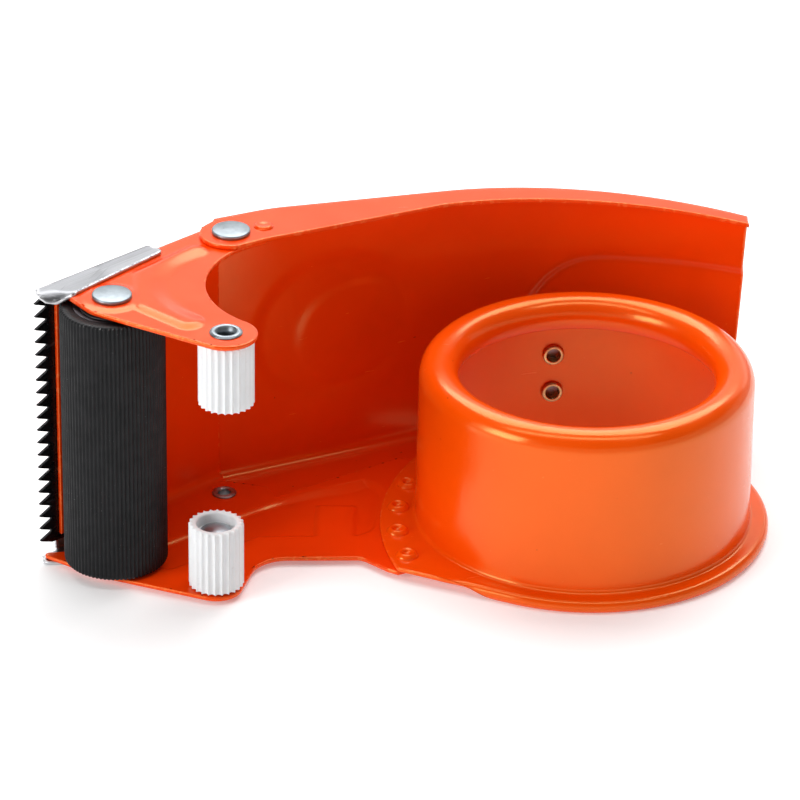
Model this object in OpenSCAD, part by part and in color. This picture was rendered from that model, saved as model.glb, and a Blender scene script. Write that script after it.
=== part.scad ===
// Hand-held packing tape dispenser: pressed steel frame, core drum, rubber roller,
// two guide rollers and a toothed blade under a stainless guard.
// Millimetres. Origin on the drum's axis, at the surface that it stands on. +Z up.

/* [Tape] */
// Width of the widest tape
tape_w = 60; // [48:1:75]
// Free height between plate and bracket above the tape's width
tape_room = 3; // [2:0.5:6]

/* [Sheet steel] */
// Thickness of the painted sheet
sheet = 1.0; // [0.8:0.1:1.2]
// Height of the pressed beads
bead_h = 0.7; // [0.4:0.1:0.8]

/* [Core drum] */
// Outside diameter of the drum's wall, at the rim
hub_d = 74.6; // [73:0.2:75.4]
// Height of the drum
hub_h = 41; // [36:1:48]
// How much the wall's radius grows from rim to foot
hub_draft = 0.35; // [0.1:0.05:0.6]
// Outside radius of the rolled rim
rim_r = 4.4; // [3.6:0.2:5.2]
// Angle through which the rim is rolled
rim_turn = 225; // [190:5:240]
// Outside diameter of the foot flange
flange_d = 84; // [82:0.5:88]
// Outside radius of the flange's curled edge
curl_r = 1.5; // [1.4:0.05:1.5]

/* [Tongue and its rivets] */
// Distance from the drum's axis to the tongue's end
tongue_reach = 45.5; // [44:0.5:48]
// Radius of the tongue's end
tongue_r = 60.7; // [50:0.5:70]
// Distance from the tongue's end to its rivets
tongue_edge = 3.8; // [3.4:0.1:5]
// Number of rivets
tongue_rivets = 4; // [3:1:4]
// Spacing of the rivets
tongue_pitch = 11; // [8:0.5:11.5]
// Diameter of a rivet's head
tongue_head_d = 5; // [4:0.2:5.6]

/* [Rubber roller] */
// Roller centre, towards the drum from the blade
roller_x = -103.5; // [-106:0.5:-101]
// Roller centre, across
roller_y = -23.6; // [-26:0.5:-22]
// Outside diameter of the rubber
roller_d = 22.8; // [20:0.2:24]
// Thickness of the rubber
rubber_t = 2.9; // [2:0.1:4]
// Wall of the tube in the rubber
core_t = 1.5; // [1:0.1:2.5]
// Length of each bush
bush_len = 8; // [5:0.5:14]
// Diameter of the axle
axle_d = 5; // [4:0.1:6]
// Diameter of the axle's head
rivet_head_d = 8.2; // [7:0.1:9]
// Height of the axle's head
rivet_head_h = 1.7; // [1:0.1:2]
// Free space between rubber and front wall
wall_gap = 0.4; // [0.35:0.05:1.5]
// Thickness of the roller's washers
washer_t = 0.5; // [0.3:0.05:0.8]

/* [Guide rollers] */
// Upper guide centre, along
upper_x = -78.4; // [-80:0.2:-77]
// Upper guide centre, across
upper_y = -38.9; // [-41:0.2:-37]
// Lower guide centre, along
lower_x = -80.9; // [-82:0.2:-80]
// Lower guide centre, across
lower_y = -34.7; // [-36:0.2:-33]
// Diameter over the serrations
guide_d = 12.1; // [10:0.1:13]
// Number of serrations
guide_teeth = 24; // [16:1:30]
// Depth of the serrations
guide_cut = 0.65; // [0.3:0.05:0.9]
// Length of a guide roller
guide_len = 15.2; // [12:0.2:20]
// Diameter of the pocket for the stud's head
pocket_d = 8.6; // [8:0.1:9.2]
// Depth of the pocket
pocket_deep = 2.6; // [2.2:0.1:4]
// Diameter of the guide studs
stud_d = 4.8; // [4:0.1:5.2]
// Thickness of the guide washers
guide_washer_t = 0.4; // [0.3:0.05:0.6]

/* [Front wall, blade and guard] */
// Direction of the front wall, seen from above
wall_turn = 45; // [43:0.5:47]
// Length of the front wall
wall_len = 47.5; // [44:0.5:50]
// From the roller's centre to the wall's near end
wall_near = 5.6; // [4.5:0.1:7]
// Number of teeth on the blade
teeth = 20; // [16:1:24]
// Depth of the teeth
tooth_deep = 3.7; // [2.5:0.1:4]
// Width of the blade from tip to heel
blade_w = 15; // [13:0.5:18]
// Thickness of the blade
blade_t = 0.6; // [0.5:0.05:0.8]
// How far the teeth's tips stand out of the wall
blade_out = 5.2; // [4:0.1:6]
// How far the blade stops short of plate and bracket
blade_short = 1.5; // [1:0.1:2]
// Thickness of the guard
guard_t = 0.8; // [0.6:0.05:0.9]
// Length of the guard
guard_len = 35; // [32:0.5:38]
// Width of the guard's flanges at the blade
guard_flange = 8; // [6.5:0.1:8.4]
// Width of the guard's flanges at the other end
guard_flange_end = 5.5; // [4:0.1:7]
// Diameter of the blade screws
screw_d = 3; // [2.5:0.5:4]
// Distance between the blade screws
screw_pitch = 40; // [30:1:48]

/* [Handle] */
// Direction of the handle's straight part, seen from above
handle_turn = 26; // [24:0.5:28]
// Length of the straight part
handle_straight = 56.5; // [50:0.5:60]
// Outside radius of the handle's curve
handle_r = 92; // [86:1:100]
// Where the handle ends, beyond the drum's axis
handle_end = 37.5; // [32:0.5:40]
// Height at the free end
handle_end_h = 56; // [50:1:60]
// How far the free end leans back from top to bottom
handle_rake = 2.4; // [0:0.2:5]
// Width of the flanges halfway along the grip
grip_w = 6.4; // [5:0.2:8]
// Width of the flanges at the free end
grip_end_w = 4.2; // [3.6:0.2:6]
// Top rivet, back from the front wall's far end
joint_back = 2.4; // [1.8:0.1:3.4]
// Top rivet, in from the front wall
joint_in = 6.6; // [6.4:0.1:7.4]
// Radius of the flange round the rivet
joint_r = 7; // [6:0.2:7.4]
// Diameter of the joint's rivet shanks
joint_d = 4; // [3:0.2:4.4]

/* [Drum spring] */
// Height of the lower eyelet
eyelet_z = 14.3; // [13:0.1:16]
// Distance between the eyelets
eyelet_pitch = 9.6; // [8:0.2:11]
// Angle of the eyelets round the drum
eyelet_turn = 100; // [95:1:110]
// Outside diameter of an eyelet
eyelet_d = 5.1; // [4.6:0.1:5.6]
// Hole through an eyelet
eyelet_hole_d = 3.2; // [2.4:0.1:3.4]
// Thickness of the leaf spring
leaf_t = 0.5; // [0.3:0.05:0.7]
// Width of the leaf spring
leaf_w = 17; // [15:0.5:20]
// Angle that the leaf covers
leaf_sweep = 42; // [30:1:50]
// How far the leaf's free end stands off the drum
leaf_rise = 2.9; // [2.4:0.1:3.5]

/* [Fits] */
// Radial running clearance of rollers on their pins
run_fit = 0.05; // [0.02:0.01:0.1]
// End play of the rollers
end_play = 0.1; // [0.05:0.05:0.3]
// Gap between the handle's lap and the front wall
lap_gap = 0.05; // [0.02:0.01:0.2]
// Radial clearance of rivets in their holes
rivet_fit = 0.1; // [0.05:0.05:0.2]
// Least gap between pressings that only pass each other
pass_gap = 0.4; // [0.2:0.05:0.8]

/* [Hidden] */
$fn = 96;
eps = 0.01;

// Heights of the stacked sheets
plate_z = sheet;
plate_top = plate_z + sheet;
bracket_z = plate_top + tape_w + tape_room;
bracket_top = bracket_z + sheet;
grip_top = bracket_top + sheet;
foot_lift = 0.15;

// Rivet and stud shapes
tail_h = plate_z - foot_lift;
tail_d = 7;
small_head_h = 0.8;
head_edge = 0.5;

// Colours
orange = [1.0, 0.34, 0.05];
steel = [0.80, 0.82, 0.84];
dark_steel = [0.35, 0.36, 0.38];
brass_col = [0.78, 0.60, 0.28];
black = [0.08, 0.08, 0.09];
white = [0.95, 0.95, 0.95];

// Places, seen from above
roller_c = [roller_x, roller_y];
upper_c = [upper_x, upper_y];
lower_c = [lower_x, lower_y];

function ray(r, turn) = r * [cos(turn), sin(turn)];

// Wall directions: along(u) runs with the front wall, away from the blade; out(n) leaves its back
along = [cos(wall_turn), sin(wall_turn)];
out = [-sin(wall_turn), cos(wall_turn)];
wall_u0 = roller_c * along - wall_near;
wall_n0 = roller_c * out + roller_d / 2 + wall_gap;
wall_n1 = wall_n0 + sheet;
blade_n = wall_n1;
guard_n0 = blade_n + blade_t;
guard_n1 = guard_n0 + guard_t;
function at(u, n) = u * along + n * out;
joint_c = at(wall_u0 + wall_len - joint_back, wall_n0 - joint_in);
eyelet_c = joint_c + [-1.7, -1.3];
nub_c = joint_c + [7, 3.4];
joint_lobe_c = joint_c + [0, -1.7];

// Corner radii of the bracket and plate
corner_r = 8;
upper_lobe_r = 6.8;
lower_lobe_r = 5.8;
throat_c = [-60, -14.5];
throat_r = norm(throat_c - upper_c) - upper_lobe_r + 2 * eps;
notch_r = 8.2;
notch_c = [-65.3, -30.4];
plate_tip = [-118.4, -22.3];
plate_tip_r = 0.9;
plate_front_y = -21.6;
tongue_corner = [-44.4, -26.4];
plate_back = [joint_c + [10, -2.4], [-41.4, 25.4]];

// Tongue
tongue_c = [tongue_r - tongue_reach, -5.8];
rivet_ring = tongue_r - tongue_edge;
rivet_step = 2 * asin(tongue_pitch / 2 / rivet_ring);
function tongue_rivet_at(i) =
    tongue_c - rivet_ring * [cos((i - (tongue_rivets - 1) / 2) * rivet_step),
                             sin((i - (tongue_rivets - 1) / 2) * rivet_step)];

// Drum
hub_r = hub_d / 2;
hub_foot_r = hub_r + hub_draft;
hub_bore_r = hub_r - sheet;
flange_r = flange_d / 2;
flange_z = plate_top;
flange_top = flange_z + sheet;
// Where the tongue's front edge runs into the flange, and where the curl ends behind it
tangent_turn = atan2(tongue_corner.y, tongue_corner.x) + acos(flange_r / norm(tongue_corner));
flange_tangent = ray(flange_r, tangent_turn);
flat_r = flange_r - curl_r - 0.5;
plate_end = flange_tangent + 3 * (tongue_corner - flange_tangent) / norm(tongue_corner - flange_tangent);
curl_over = 1.5;
curl_back = 142;
tongue_back = ray(flange_r, curl_back).y - 1.25;

// Roller
core_r = roller_d / 2 - rubber_t;
bush_r = core_r - core_t;
roller_z0 = plate_top + washer_t + end_play;
roller_z1 = bracket_z - washer_t - end_play;
upper_z1 = bracket_z - guide_washer_t - end_play;
lower_z0 = plate_top + guide_washer_t + end_play;

// Blade
blade_z0 = plate_top + blade_short;
blade_z1 = bracket_z;
tooth_pitch = (blade_z1 - blade_z0) / teeth;
tip_u = wall_u0 - blade_out;
heel_u = tip_u + blade_w;
screw_u = tip_u + tooth_deep + (blade_w - tooth_deep) / 2;
screw_mid = (plate_top + bracket_z) / 2;

// Handle outline: a lap behind the front wall, a straight part, then an arc that turns back
bend = [cos(handle_turn), sin(handle_turn)];
bend_out = [-bend.y, bend.x];
lap = 3.5;
grip_b = at(wall_u0 + wall_len, wall_n1 + lap_gap + sheet);
grip_a = grip_b - lap * along;
grip_c = grip_b + handle_straight * bend;
arc_c = grip_c - handle_r * bend_out;
slope_x = joint_c.x + corner_r + 0.3;
grip_slope = (grip_top - handle_end_h) / (handle_end - slope_x);
// The top flange's inner edge runs straight from the joint's round end to an arc
inner_c = arc_c + [(grip_w - grip_end_w) * 1.7, -grip_w];
inner_line = [joint_c + [1.8, -joint_r + 0.3], joint_c + [12.7, 0.5], on_arc(grip_c.x + 0.9, inner_c)];
foot_c = arc_c + [0, -grip_end_w];
foot_line = [eyelet_c + [6, -4], eyelet_c + [40, 14.8], on_arc(grip_c.x + 2.9, foot_c)];
function on_arc(x, c) = [x, c.y + sqrt(pow(handle_r, 2) - pow(x - c.x, 2))];

// ---- plain helpers -----------------------------------------------------------

// Two circles joined by their outer tangents, which run a hair inside the circles
module pill(p, r, q, s) {
    turn = atan2(q.y - p.y, q.x - p.x);
    lean = acos((r - s) / norm(q - p));
    translate(p) circle(r);
    translate(q) circle(s);
    polygon([p + ray(r - eps, turn + lean), q + ray(s - eps, turn + lean),
             q + ray(s - eps, turn - lean), p + ray(r - eps, turn - lean)]);
}

module sheet_at(z, h = sheet) {
    translate([0, 0, z]) linear_extrude(h) children();
}

module spot(p, z = 0) {
    translate([p.x, p.y, z]) children();
}

// A solid drawn flat against the front wall: x runs along the wall, y is height
module on_wall(n, t) {
    rotate([0, 0, wall_turn]) translate([0, n + t, 0]) rotate([90, 0, 0])
        linear_extrude(t) children();
}

// Low domed rivet head with a short straight edge
module rivet_head(d, h) {
    dome = h - head_edge;
    ball = (pow(d / 2, 2) + pow(dome, 2)) / (2 * dome);
    intersection() {
        cylinder(h = h, d = d);
        translate([0, 0, h - ball]) sphere(ball);
    }
}

// ---- frame ---------------------------------------------------------------------

module bracket_outline() {
    difference() {
        union() {
            pill(roller_c, corner_r, upper_c, upper_lobe_r);
            translate(joint_lobe_c) circle(corner_r);
            pill(roller_c, corner_r, at(wall_u0 + 1.6, wall_n1 - 1.6), 1.5);
            polygon([at(wall_u0 + 1.5, wall_n0 + 0.4), at(wall_u0 + wall_len - 0.4, wall_n0 + 0.4),
                     joint_c, throat_c, upper_c, roller_c]);
        }
        translate(throat_c) circle(throat_r);
    }
}

module plate_outline() {
    difference() {
        union() {
            pill(plate_tip, plate_tip_r, roller_c, corner_r);
            pill(roller_c, corner_r, lower_c, lower_lobe_r);
            polygon([plate_tip, roller_c, lower_c, lower_c + [lower_lobe_r - 0.3, 0],
                     notch_c - [notch_r - 0.5, 0], notch_c + [0, notch_r - 0.5],
                     [-56, plate_front_y + 0.4], [-49.6, plate_front_y], [-46.4, -22.8],
                     tongue_corner, plate_end, [-30, 0], plate_back[1], plate_back[0],
                     joint_c + [corner_r, 2.3], at(wall_u0 + wall_len - 0.4, wall_n0 + 0.4),
                     at(wall_u0 + 0.4, wall_n0 + 0.4)]);
        }
        translate(notch_c) circle(notch_r);
        circle(hub_foot_r + 1);
    }
}

// Boomerang bead of the bracket: three joined pills round the throat
module bracket_bead(grow = 0) {
    ends = [[-86.6, 0.2], [-96.2, -12.2], [-94.6, -26.2], [-86.6, -34.2]];
    radii = [2, 2.8, 3.4, 2.6];
    difference() {
        union() {
            for (i = [0 : 2])
                pill(ends[i], radii[i] + grow, ends[i + 1], radii[i + 1] + grow);
            polygon(concat(ends, [[-76, -16]]));
        }
        translate([-74.7, -16.4]) circle(18.2 - grow);
    }
}

// Pressed recess of the plate, with a level pad left in it
module plate_bead(grow = 0) {
    difference() {
        union() {
            pill([-93, -23], 5 + grow, [-74.5, -7.6], 5 + grow);
            pill([-74.5, -7.6], 5 + grow, [-60, 1], 5.6 + grow);
            pill([-60, 1], 5.6 + grow, [-51.8, 3.2], 6.4 + grow);
            pill([-74.5, -7.6], 5 + grow, [-52.6, -5.2], 6.4 + grow);
            pill([-51.8, 3.2], 6.4 + grow, [-52.6, -5.2], 6.4 + grow);
        }
        translate([-60.4 + grow, -11 + grow]) square([9.8 - 2 * grow, 14 - 2 * grow]);
    }
}

module front_frame() {
    color(orange) difference() {
        union() {
            sheet_at(plate_z) plate_outline();
            sheet_at(bracket_z) bracket_outline();
            on_wall(wall_n0, sheet) translate([wall_u0, plate_z])
                square([wall_len, bracket_top - plate_z]);
            sheet_at(bracket_top - eps, bead_h + eps) bracket_bead();
            sheet_at(plate_z - bead_h, bead_h + eps) plate_bead();
        }
        sheet_at(bracket_z - eps, bead_h + eps) bracket_bead(-0.8);
        sheet_at(plate_top - bead_h, bead_h + eps) plate_bead(-0.8);
        // relief at the foot of the wall's near end
        on_wall(wall_n0 - eps, sheet + 2 * eps) translate([wall_u0 - eps, plate_top])
            square([3.5, 2.8]);
        // rivet and stud holes
        spot(roller_c, plate_z - 1) cylinder(h = grip_top + 2, d = axle_d + 2 * rivet_fit);
        spot(upper_c, bracket_z - 1) cylinder(h = sheet + 2, d = stud_d + 2 * rivet_fit);
        spot(lower_c, plate_z - 1) cylinder(h = sheet + 2, d = stud_d + 2 * rivet_fit);
        spot(joint_c, bracket_z - 1) cylinder(h = sheet + 2, d = joint_d + 2 * rivet_fit);
        spot(eyelet_c, plate_z - 1) cylinder(h = sheet + 2, d = joint_d + 2 * rivet_fit);
        tongue_holes(plate_z - 1);
        screw_places() cylinder(h = 4, d = screw_d);
    }
}

module tongue_holes(z) {
    for (i = [0 : tongue_rivets - 1])
        spot(tongue_rivet_at(i), z) cylinder(h = sheet + 2, d = joint_d - 1 + 2 * rivet_fit);
}

// Frames at the blade screws, with +Z out of the wall's back and z = 0 at its inner face
module screw_places() {
    for (s = [-1, 1])
        spot(at(screw_u, wall_n0), screw_mid + s * screw_pitch / 2)
            rotate([0, 0, wall_turn]) rotate([-90, 0, 0]) translate([0, 0, -eps]) children();
}

// ---- handle --------------------------------------------------------------------

// Everything on the roll's side of the handle's face, t inside its outer face
module grip_shape(t) {
    back = t > 0 ? 5 : 0;
    polygon([arc_c, grip_a - back * along - 20 * out, grip_a - back * along - t * out,
             grip_b - t / (1 + cos(wall_turn - handle_turn)) * (out + bend_out),
             grip_c - (t + eps) * bend_out]);
    translate(arc_c) circle(handle_r - t, $fn = 180);
}

module handle_wall_outline() {
    intersection() {
        difference() {
            grip_shape(0);
            grip_shape(sheet);
        }
        translate([-100, 8]) square(200);
    }
}

// Flange from the outer face to a line and an arc on the roll's side, round one rivet
module flange_outline(hole, r, line, c) {
    translate(hole) circle(r);
    difference() {
        intersection() {
            grip_shape(0);
            polygon(concat([hole], line, [[60, 10], [60, 120], [-100, 120], grip_a - 5 * along]));
        }
        translate(c) circle(handle_r, $fn = 180);
    }
}

module top_flange_outline() {
    flange_outline(joint_c, joint_r, inner_line, inner_c);
}

module bottom_flange_outline() {
    flange_outline(eyelet_c, joint_r - 1, foot_line, foot_c);
}

// Side view of the handle: flat over the joint, then sloping to a raked end
module side_profile(depth = 0) {
    low = depth == 0 ? grip_top : depth;
    translate([0, 150, 0]) rotate([90, 0, 0]) linear_extrude(300)
        polygon([[joint_c.x - 20, grip_top], [slope_x, grip_top], [handle_end, handle_end_h],
                 [handle_end - min(low / handle_end_h, 1) * handle_rake,
                  depth == 0 ? 0 : handle_end_h - depth],
                 [slope_x, grip_top - low], [joint_c.x - 20, grip_top - low]]);
}

// A pill drawn flat against the straight part: x runs along it, y is height
module on_grip(n, t) {
    translate(grip_b) rotate([0, 0, handle_turn]) translate([0, n + t, 0]) rotate([90, 0, 0])
        linear_extrude(t) children();
}

// Pressed bead of the grip's straight part
module grip_bead(grow = 0) {
    pill([27, 34], 17.5 + grow, [31, 34.6], 17.5 + grow);
}

module handle() {
    color(orange) difference() {
        union() {
            intersection() {
                linear_extrude(grip_top) handle_wall_outline();
                side_profile();
            }
            intersection() {
                linear_extrude(grip_top) top_flange_outline();
                side_profile(sheet);
            }
            intersection() {
                linear_extrude(sheet) bottom_flange_outline();
                side_profile();
            }
            on_grip(-eps, bead_h + eps) grip_bead();
            spot(nub_c, bracket_top + sheet / 2) cylinder(h = sheet / 2 + 0.35, d = 3.4);
        }
        on_grip(-sheet - eps, bead_h + eps) grip_bead(-0.8);
        spot(joint_c, bracket_top - 1) cylinder(h = sheet + 2, d = joint_d + 2 * rivet_fit);
        spot(eyelet_c) translate([0, 0, -eps])
            cylinder(h = sheet + 1, d1 = joint_d + 2, d2 = joint_d - 1.6);
        spot(eyelet_c, -1) cylinder(h = sheet + 2, d = joint_d + 2 * rivet_fit);
    }
}

// ---- drum ----------------------------------------------------------------------

module hub_section() {
    rim_c = [hub_r - rim_r, hub_h - rim_r];
    // wall, with its draft
    polygon([[hub_r, rim_c.y], [hub_foot_r, flange_z], [hub_foot_r - sheet, flange_z],
             [hub_r - sheet, rim_c.y]]);
    // rolled rim
    intersection() {
        translate(rim_c) difference() {
            circle(rim_r);
            circle(rim_r - sheet);
        }
        polygon([rim_c, rim_c + [20, 0], rim_c + [20, 20], rim_c + [-20, 20],
                 rim_c + 30 * [-cos(rim_turn - 180), -sin(rim_turn - 180)]]);
    }
    // foot flange
    translate([hub_foot_r - sheet, flange_z])
        square([flange_r - curl_r + 0.2 - hub_foot_r + sheet, sheet]);
}

// Half round curl at the flange's edge, in short flats
module curl_section() {
    translate([flange_r - curl_r, flange_top - curl_r]) polygon(concat(
        [[-0.3, curl_r - 2 * eps]], [for (a = [75 : -15 : -90]) ray(curl_r, a)],
        [for (a = [-90 : 15 : 75]) ray(curl_r - sheet, a)],
        [[-0.3, curl_r - sheet + 2 * eps]]));
}

module tongue_outline() {
    intersection() {
        translate(tongue_c) circle(tongue_r);
        polygon([[0, 0], ray(flat_r, tangent_turn + 4), flange_tangent, tongue_corner,
                 [-60, -20], [-60, tongue_back], [-38, tongue_back], ray(flange_r, curl_back),
                 ray(flat_r, curl_back - 4)]);
    }
}

module hub() {
    color(orange) difference() {
        union() {
            rotate_extrude() hub_section();
            rotate([0, 0, tangent_turn - curl_over])
                rotate_extrude(angle = curl_back - tangent_turn + 2 * curl_over) curl_section();
            sheet_at(flange_z) difference() {
                tongue_outline();
                circle(hub_foot_r - sheet / 2);
            }
        }
        tongue_holes(flange_z - 1);
        eyelet_holes();
    }
}

// Frames at the eyelets, with +Z out of the drum and z = 0 at the wall's outer face
module eyelet_places() {
    for (i = [0, 1])
        rotate([0, 0, eyelet_turn]) translate([hub_foot_r, 0, eyelet_z + i * eyelet_pitch])
            rotate([0, 90, 0]) children();
}

module eyelet_holes() {
    deep = 2 * sheet + leaf_t;
    eyelet_places() translate([0, 0, -deep]) cylinder(h = 2 * deep, d = eyelet_hole_d + 1);
}

module hub_rivets() {
    color(orange) for (i = [0 : tongue_rivets - 1]) spot(tongue_rivet_at(i)) difference() {
        union() {
            translate([0, 0, foot_lift]) cylinder(h = tail_h, d = tongue_head_d - 0.6);
            translate([0, 0, plate_z]) cylinder(h = 2 * sheet, d = joint_d - 1);
            translate([0, 0, flange_top]) rivet_head(tongue_head_d, small_head_h + 0.3);
        }
        translate([0, 0, flange_top + 0.3])
            cylinder(h = 2 * sheet, d1 = 0.16 * tongue_head_d, d2 = 0.5 * tongue_head_d);
    }
}

module hub_eyelets() {
    inner = sheet + hub_draft + 0.1;
    color(brass_col) eyelet_places() rotate_extrude() polygon([
        [eyelet_hole_d / 2, -inner - 0.7], [eyelet_d / 2 - 0.3, -inner - 0.7],
        [eyelet_d / 2, -inner - 0.35], [eyelet_d / 2, -inner],
        [eyelet_hole_d / 2 + 0.4, -inner], [eyelet_hole_d / 2 + 0.4, leaf_t + 0.35],
        [eyelet_d / 2, leaf_t + 0.35], [eyelet_d / 2, leaf_t + 0.8],
        [eyelet_hole_d / 2, leaf_t + 0.8]]);
}

leaf_r0 = hub_foot_r + 0.3;
leaf_z = eyelet_z + eyelet_pitch / 2 - leaf_w / 2;
foot_half = 7;
hinge_turn = eyelet_turn - foot_half - 0.2;

module arc_strip(r, t, from, to) {
    reach = 2 * r;
    intersection() {
        difference() {
            circle(r + t);
            circle(r);
        }
        polygon([[0, 0], reach * [cos(from), sin(from)],
                 reach * [cos((from + to) / 2), sin((from + to) / 2)],
                 reach * [cos(to), sin(to)]]);
    }
}

module spring_foot() {
    color(steel) difference() {
        sheet_at(leaf_z, leaf_w)
            arc_strip(leaf_r0, leaf_t, eyelet_turn - foot_half, eyelet_turn + foot_half);
        eyelet_holes();
    }
}

// The leaf is an arc of a wider circle, so that it leaves the drum towards its free end
module spring_leaf() {
    hinge = (leaf_r0 + leaf_t) * [cos(hinge_turn), sin(hinge_turn)];
    wide = 1.55;
    lift = leaf_rise / leaf_sweep / (wide - 1) * 0.55;
    color(steel) sheet_at(leaf_z, leaf_w)
        translate((1 - wide) * leaf_r0 * [cos(hinge_turn + lift), sin(hinge_turn + lift)])
            arc_strip(leaf_r0 * wide, leaf_t, hinge_turn - leaf_sweep / wide, hinge_turn);
}

// ---- joint of handle and frame ---------------------------------------------------

module top_rivet() {
    color(steel) spot(joint_c) {
        translate([0, 0, grip_top]) rivet_head(rivet_head_d, rivet_head_h);
        translate([0, 0, bracket_z]) cylinder(h = 2 * sheet, d = joint_d);
        translate([0, 0, bracket_z - small_head_h]) cylinder(h = small_head_h, d = joint_d + 2.4);
    }
}

module bottom_eyelet() {
    r = joint_d / 2;
    color(dark_steel) spot(eyelet_c) rotate_extrude() polygon([
        [r - 0.6, 0.2], [r + 0.75, 0.1], [r - 0.05, sheet - 0.05], [r, sheet],
        [r, plate_top], [r + 0.75, plate_top], [r + 0.75, plate_top + 0.3],
        [r + 0.4, plate_top + 0.6], [r - 0.2, plate_top + 0.6], [r - 0.6, plate_top + 0.2]]);
}

// ---- large roller ----------------------------------------------------------------

module tube(z0, z1, r0, r1) {
    translate([0, 0, z0]) difference() {
        cylinder(h = z1 - z0, r = r1);
        translate([0, 0, -1]) cylinder(h = z1 - z0 + 2, r = r0);
    }
}

module roller_sleeve() {
    bevel = 0.5;
    r = roller_d / 2;
    color(black) spot(roller_c) rotate_extrude() polygon([
        [core_r, roller_z0], [r - bevel, roller_z0], [r, roller_z0 + bevel],
        [r, roller_z1 - bevel], [r - bevel, roller_z1], [core_r, roller_z1]]);
}

module roller_core() {
    color(steel) spot(roller_c) tube(roller_z0, roller_z1, bush_r, core_r);
}

module roller_bush(z) {
    color(white) spot(roller_c) tube(z, z + bush_len, axle_d / 2 + run_fit, bush_r);
}

module roller_bush_top() {
    roller_bush(roller_z1 - bush_len);
}

module roller_bush_bottom() {
    roller_bush(roller_z0);
}

module roller_axle() {
    color(steel) spot(roller_c) {
        translate([0, 0, bracket_top]) rivet_head(rivet_head_d, rivet_head_h);
        translate([0, 0, plate_z]) cylinder(h = bracket_top - plate_z, d = axle_d);
        translate([0, 0, foot_lift]) cylinder(h = tail_h, d = tail_d + 0.4);
    }
}

module roller_washers() {
    color(steel) spot(roller_c) {
        tube(plate_top, plate_top + washer_t, axle_d / 2 + rivet_fit, axle_d);
        tube(bracket_z - washer_t, bracket_z, axle_d / 2 + rivet_fit, axle_d);
    }
}

// ---- guide rollers ---------------------------------------------------------------

module guide_section() {
    step = 360 / guide_teeth;
    r1 = guide_d / 2;
    r0 = r1 - guide_cut;
    polygon([for (i = [0 : guide_teeth - 1], k = [0 : 3])
        (k < 2 ? r1 : r0) * [cos((i + [-0.09, 0.09, 0.36, 0.64][k]) * step),
                             sin((i + [-0.09, 0.09, 0.36, 0.64][k]) * step)]]);
}

// Guide roller with the pocket at its upper end
module guide_roller() {
    color(white) difference() {
        linear_extrude(guide_len) guide_section();
        translate([0, 0, -1]) cylinder(h = guide_len + 2, r = stud_d / 2 + run_fit);
        translate([0, 0, guide_len - pocket_deep]) cylinder(h = pocket_deep + 1, d = pocket_d);
    }
}

module upper_guide_roller() {
    spot(upper_c, upper_z1) mirror([0, 0, 1]) guide_roller();
}

module lower_guide_roller() {
    spot(lower_c, lower_z0) guide_roller();
}

seat_len = guide_len - pocket_deep;
stud_head_d = tail_d;

module upper_guide_stud() {
    r = stud_d / 2;
    wall = 0.7;
    low = upper_z1 - seat_len - end_play;
    color(steel) spot(upper_c) rotate_extrude() polygon([
        [r - wall, low - 0.9], [stud_head_d / 2 - 0.3, low - 0.9], [stud_head_d / 2, low - 0.6],
        [stud_head_d / 2, low], [r, low], [r, bracket_top], [stud_head_d / 2, bracket_top],
        [stud_head_d / 2, bracket_top + 0.25], [r + 0.6, bracket_top + 0.6],
        [r, bracket_top + 0.5], [r - wall, bracket_top - 0.4]]);
}

module lower_guide_stud() {
    high = lower_z0 + seat_len + end_play;
    color(steel) spot(lower_c) {
        translate([0, 0, foot_lift]) cylinder(h = tail_h, d = tail_d);
        translate([0, 0, plate_z]) cylinder(h = high - plate_z, d = stud_d);
        translate([0, 0, high]) rivet_head(stud_head_d, 1.3);
    }
}

module guide_washers() {
    r = stud_d / 2;
    color(steel) {
        spot(lower_c) tube(plate_top, plate_top + guide_washer_t, r + rivet_fit, r + 1.4);
        spot(upper_c) tube(bracket_z - guide_washer_t, bracket_z, r + rivet_fit, r + 1.4);
    }
}

// ---- blade and guard ---------------------------------------------------------------

module blade() {
    round_n = 0.18;
    color(black) difference() {
        on_wall(blade_n, blade_t) polygon(concat(
            [[heel_u, blade_z0], [heel_u, blade_z1]],
            [for (i = [0 : teeth - 1], k = [0 : 3])
                [[tip_u + tooth_deep * 0.86, blade_z1 - (i + 0.06) * tooth_pitch],
                 [tip_u + 0.08, blade_z1 - (i + 0.48) * tooth_pitch],
                 [tip_u + 0.08, blade_z1 - (i + 0.52) * tooth_pitch],
                 [tip_u + tooth_deep * (i == teeth - 1 ? 0.9 : 0.86),
                  blade_z1 - (i + 0.94) * tooth_pitch]][k]]));
        screw_places() cylinder(h = 6, d = screw_d + 2 * rivet_fit);
    }
}

// Plan of the guard's flanges, tapering away from the blade
module guard_outline() {
    r = 1.6;
    u0 = tip_u - 0.3;
    u1 = u0 + guard_len;
    back = guard_n1 - 2 * eps;
    near = at(u0 + 5, guard_n1 - guard_flange + r);
    far = at(u1 - r - 1, guard_n1 - guard_flange_end + r);
    pill(at(u1 - r, back - r), r, far, r);
    pill(far, r, near, r);
    pill(near, r, at(u0 + r, back - r), r);
    polygon([at(u0 + r, back - eps), at(u1 - r, back - eps), far, near]);
}

module blade_guard() {
    u0 = wall_u0 - 0.4;
    top = bracket_top + guard_t;
    low = foot_lift;
    color(steel) difference() {
        union() {
            sheet_at(bracket_top) guard_outline();
            sheet_at(low, plate_z - low) guard_outline();
            on_wall(guard_n0, guard_t) translate([u0, low])
                square([tip_u - 0.3 + guard_len - 1.6 - u0, top - low]);
        }
        screw_places() cylinder(h = 6, d = screw_d + 2 * rivet_fit);
    }
}

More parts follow.
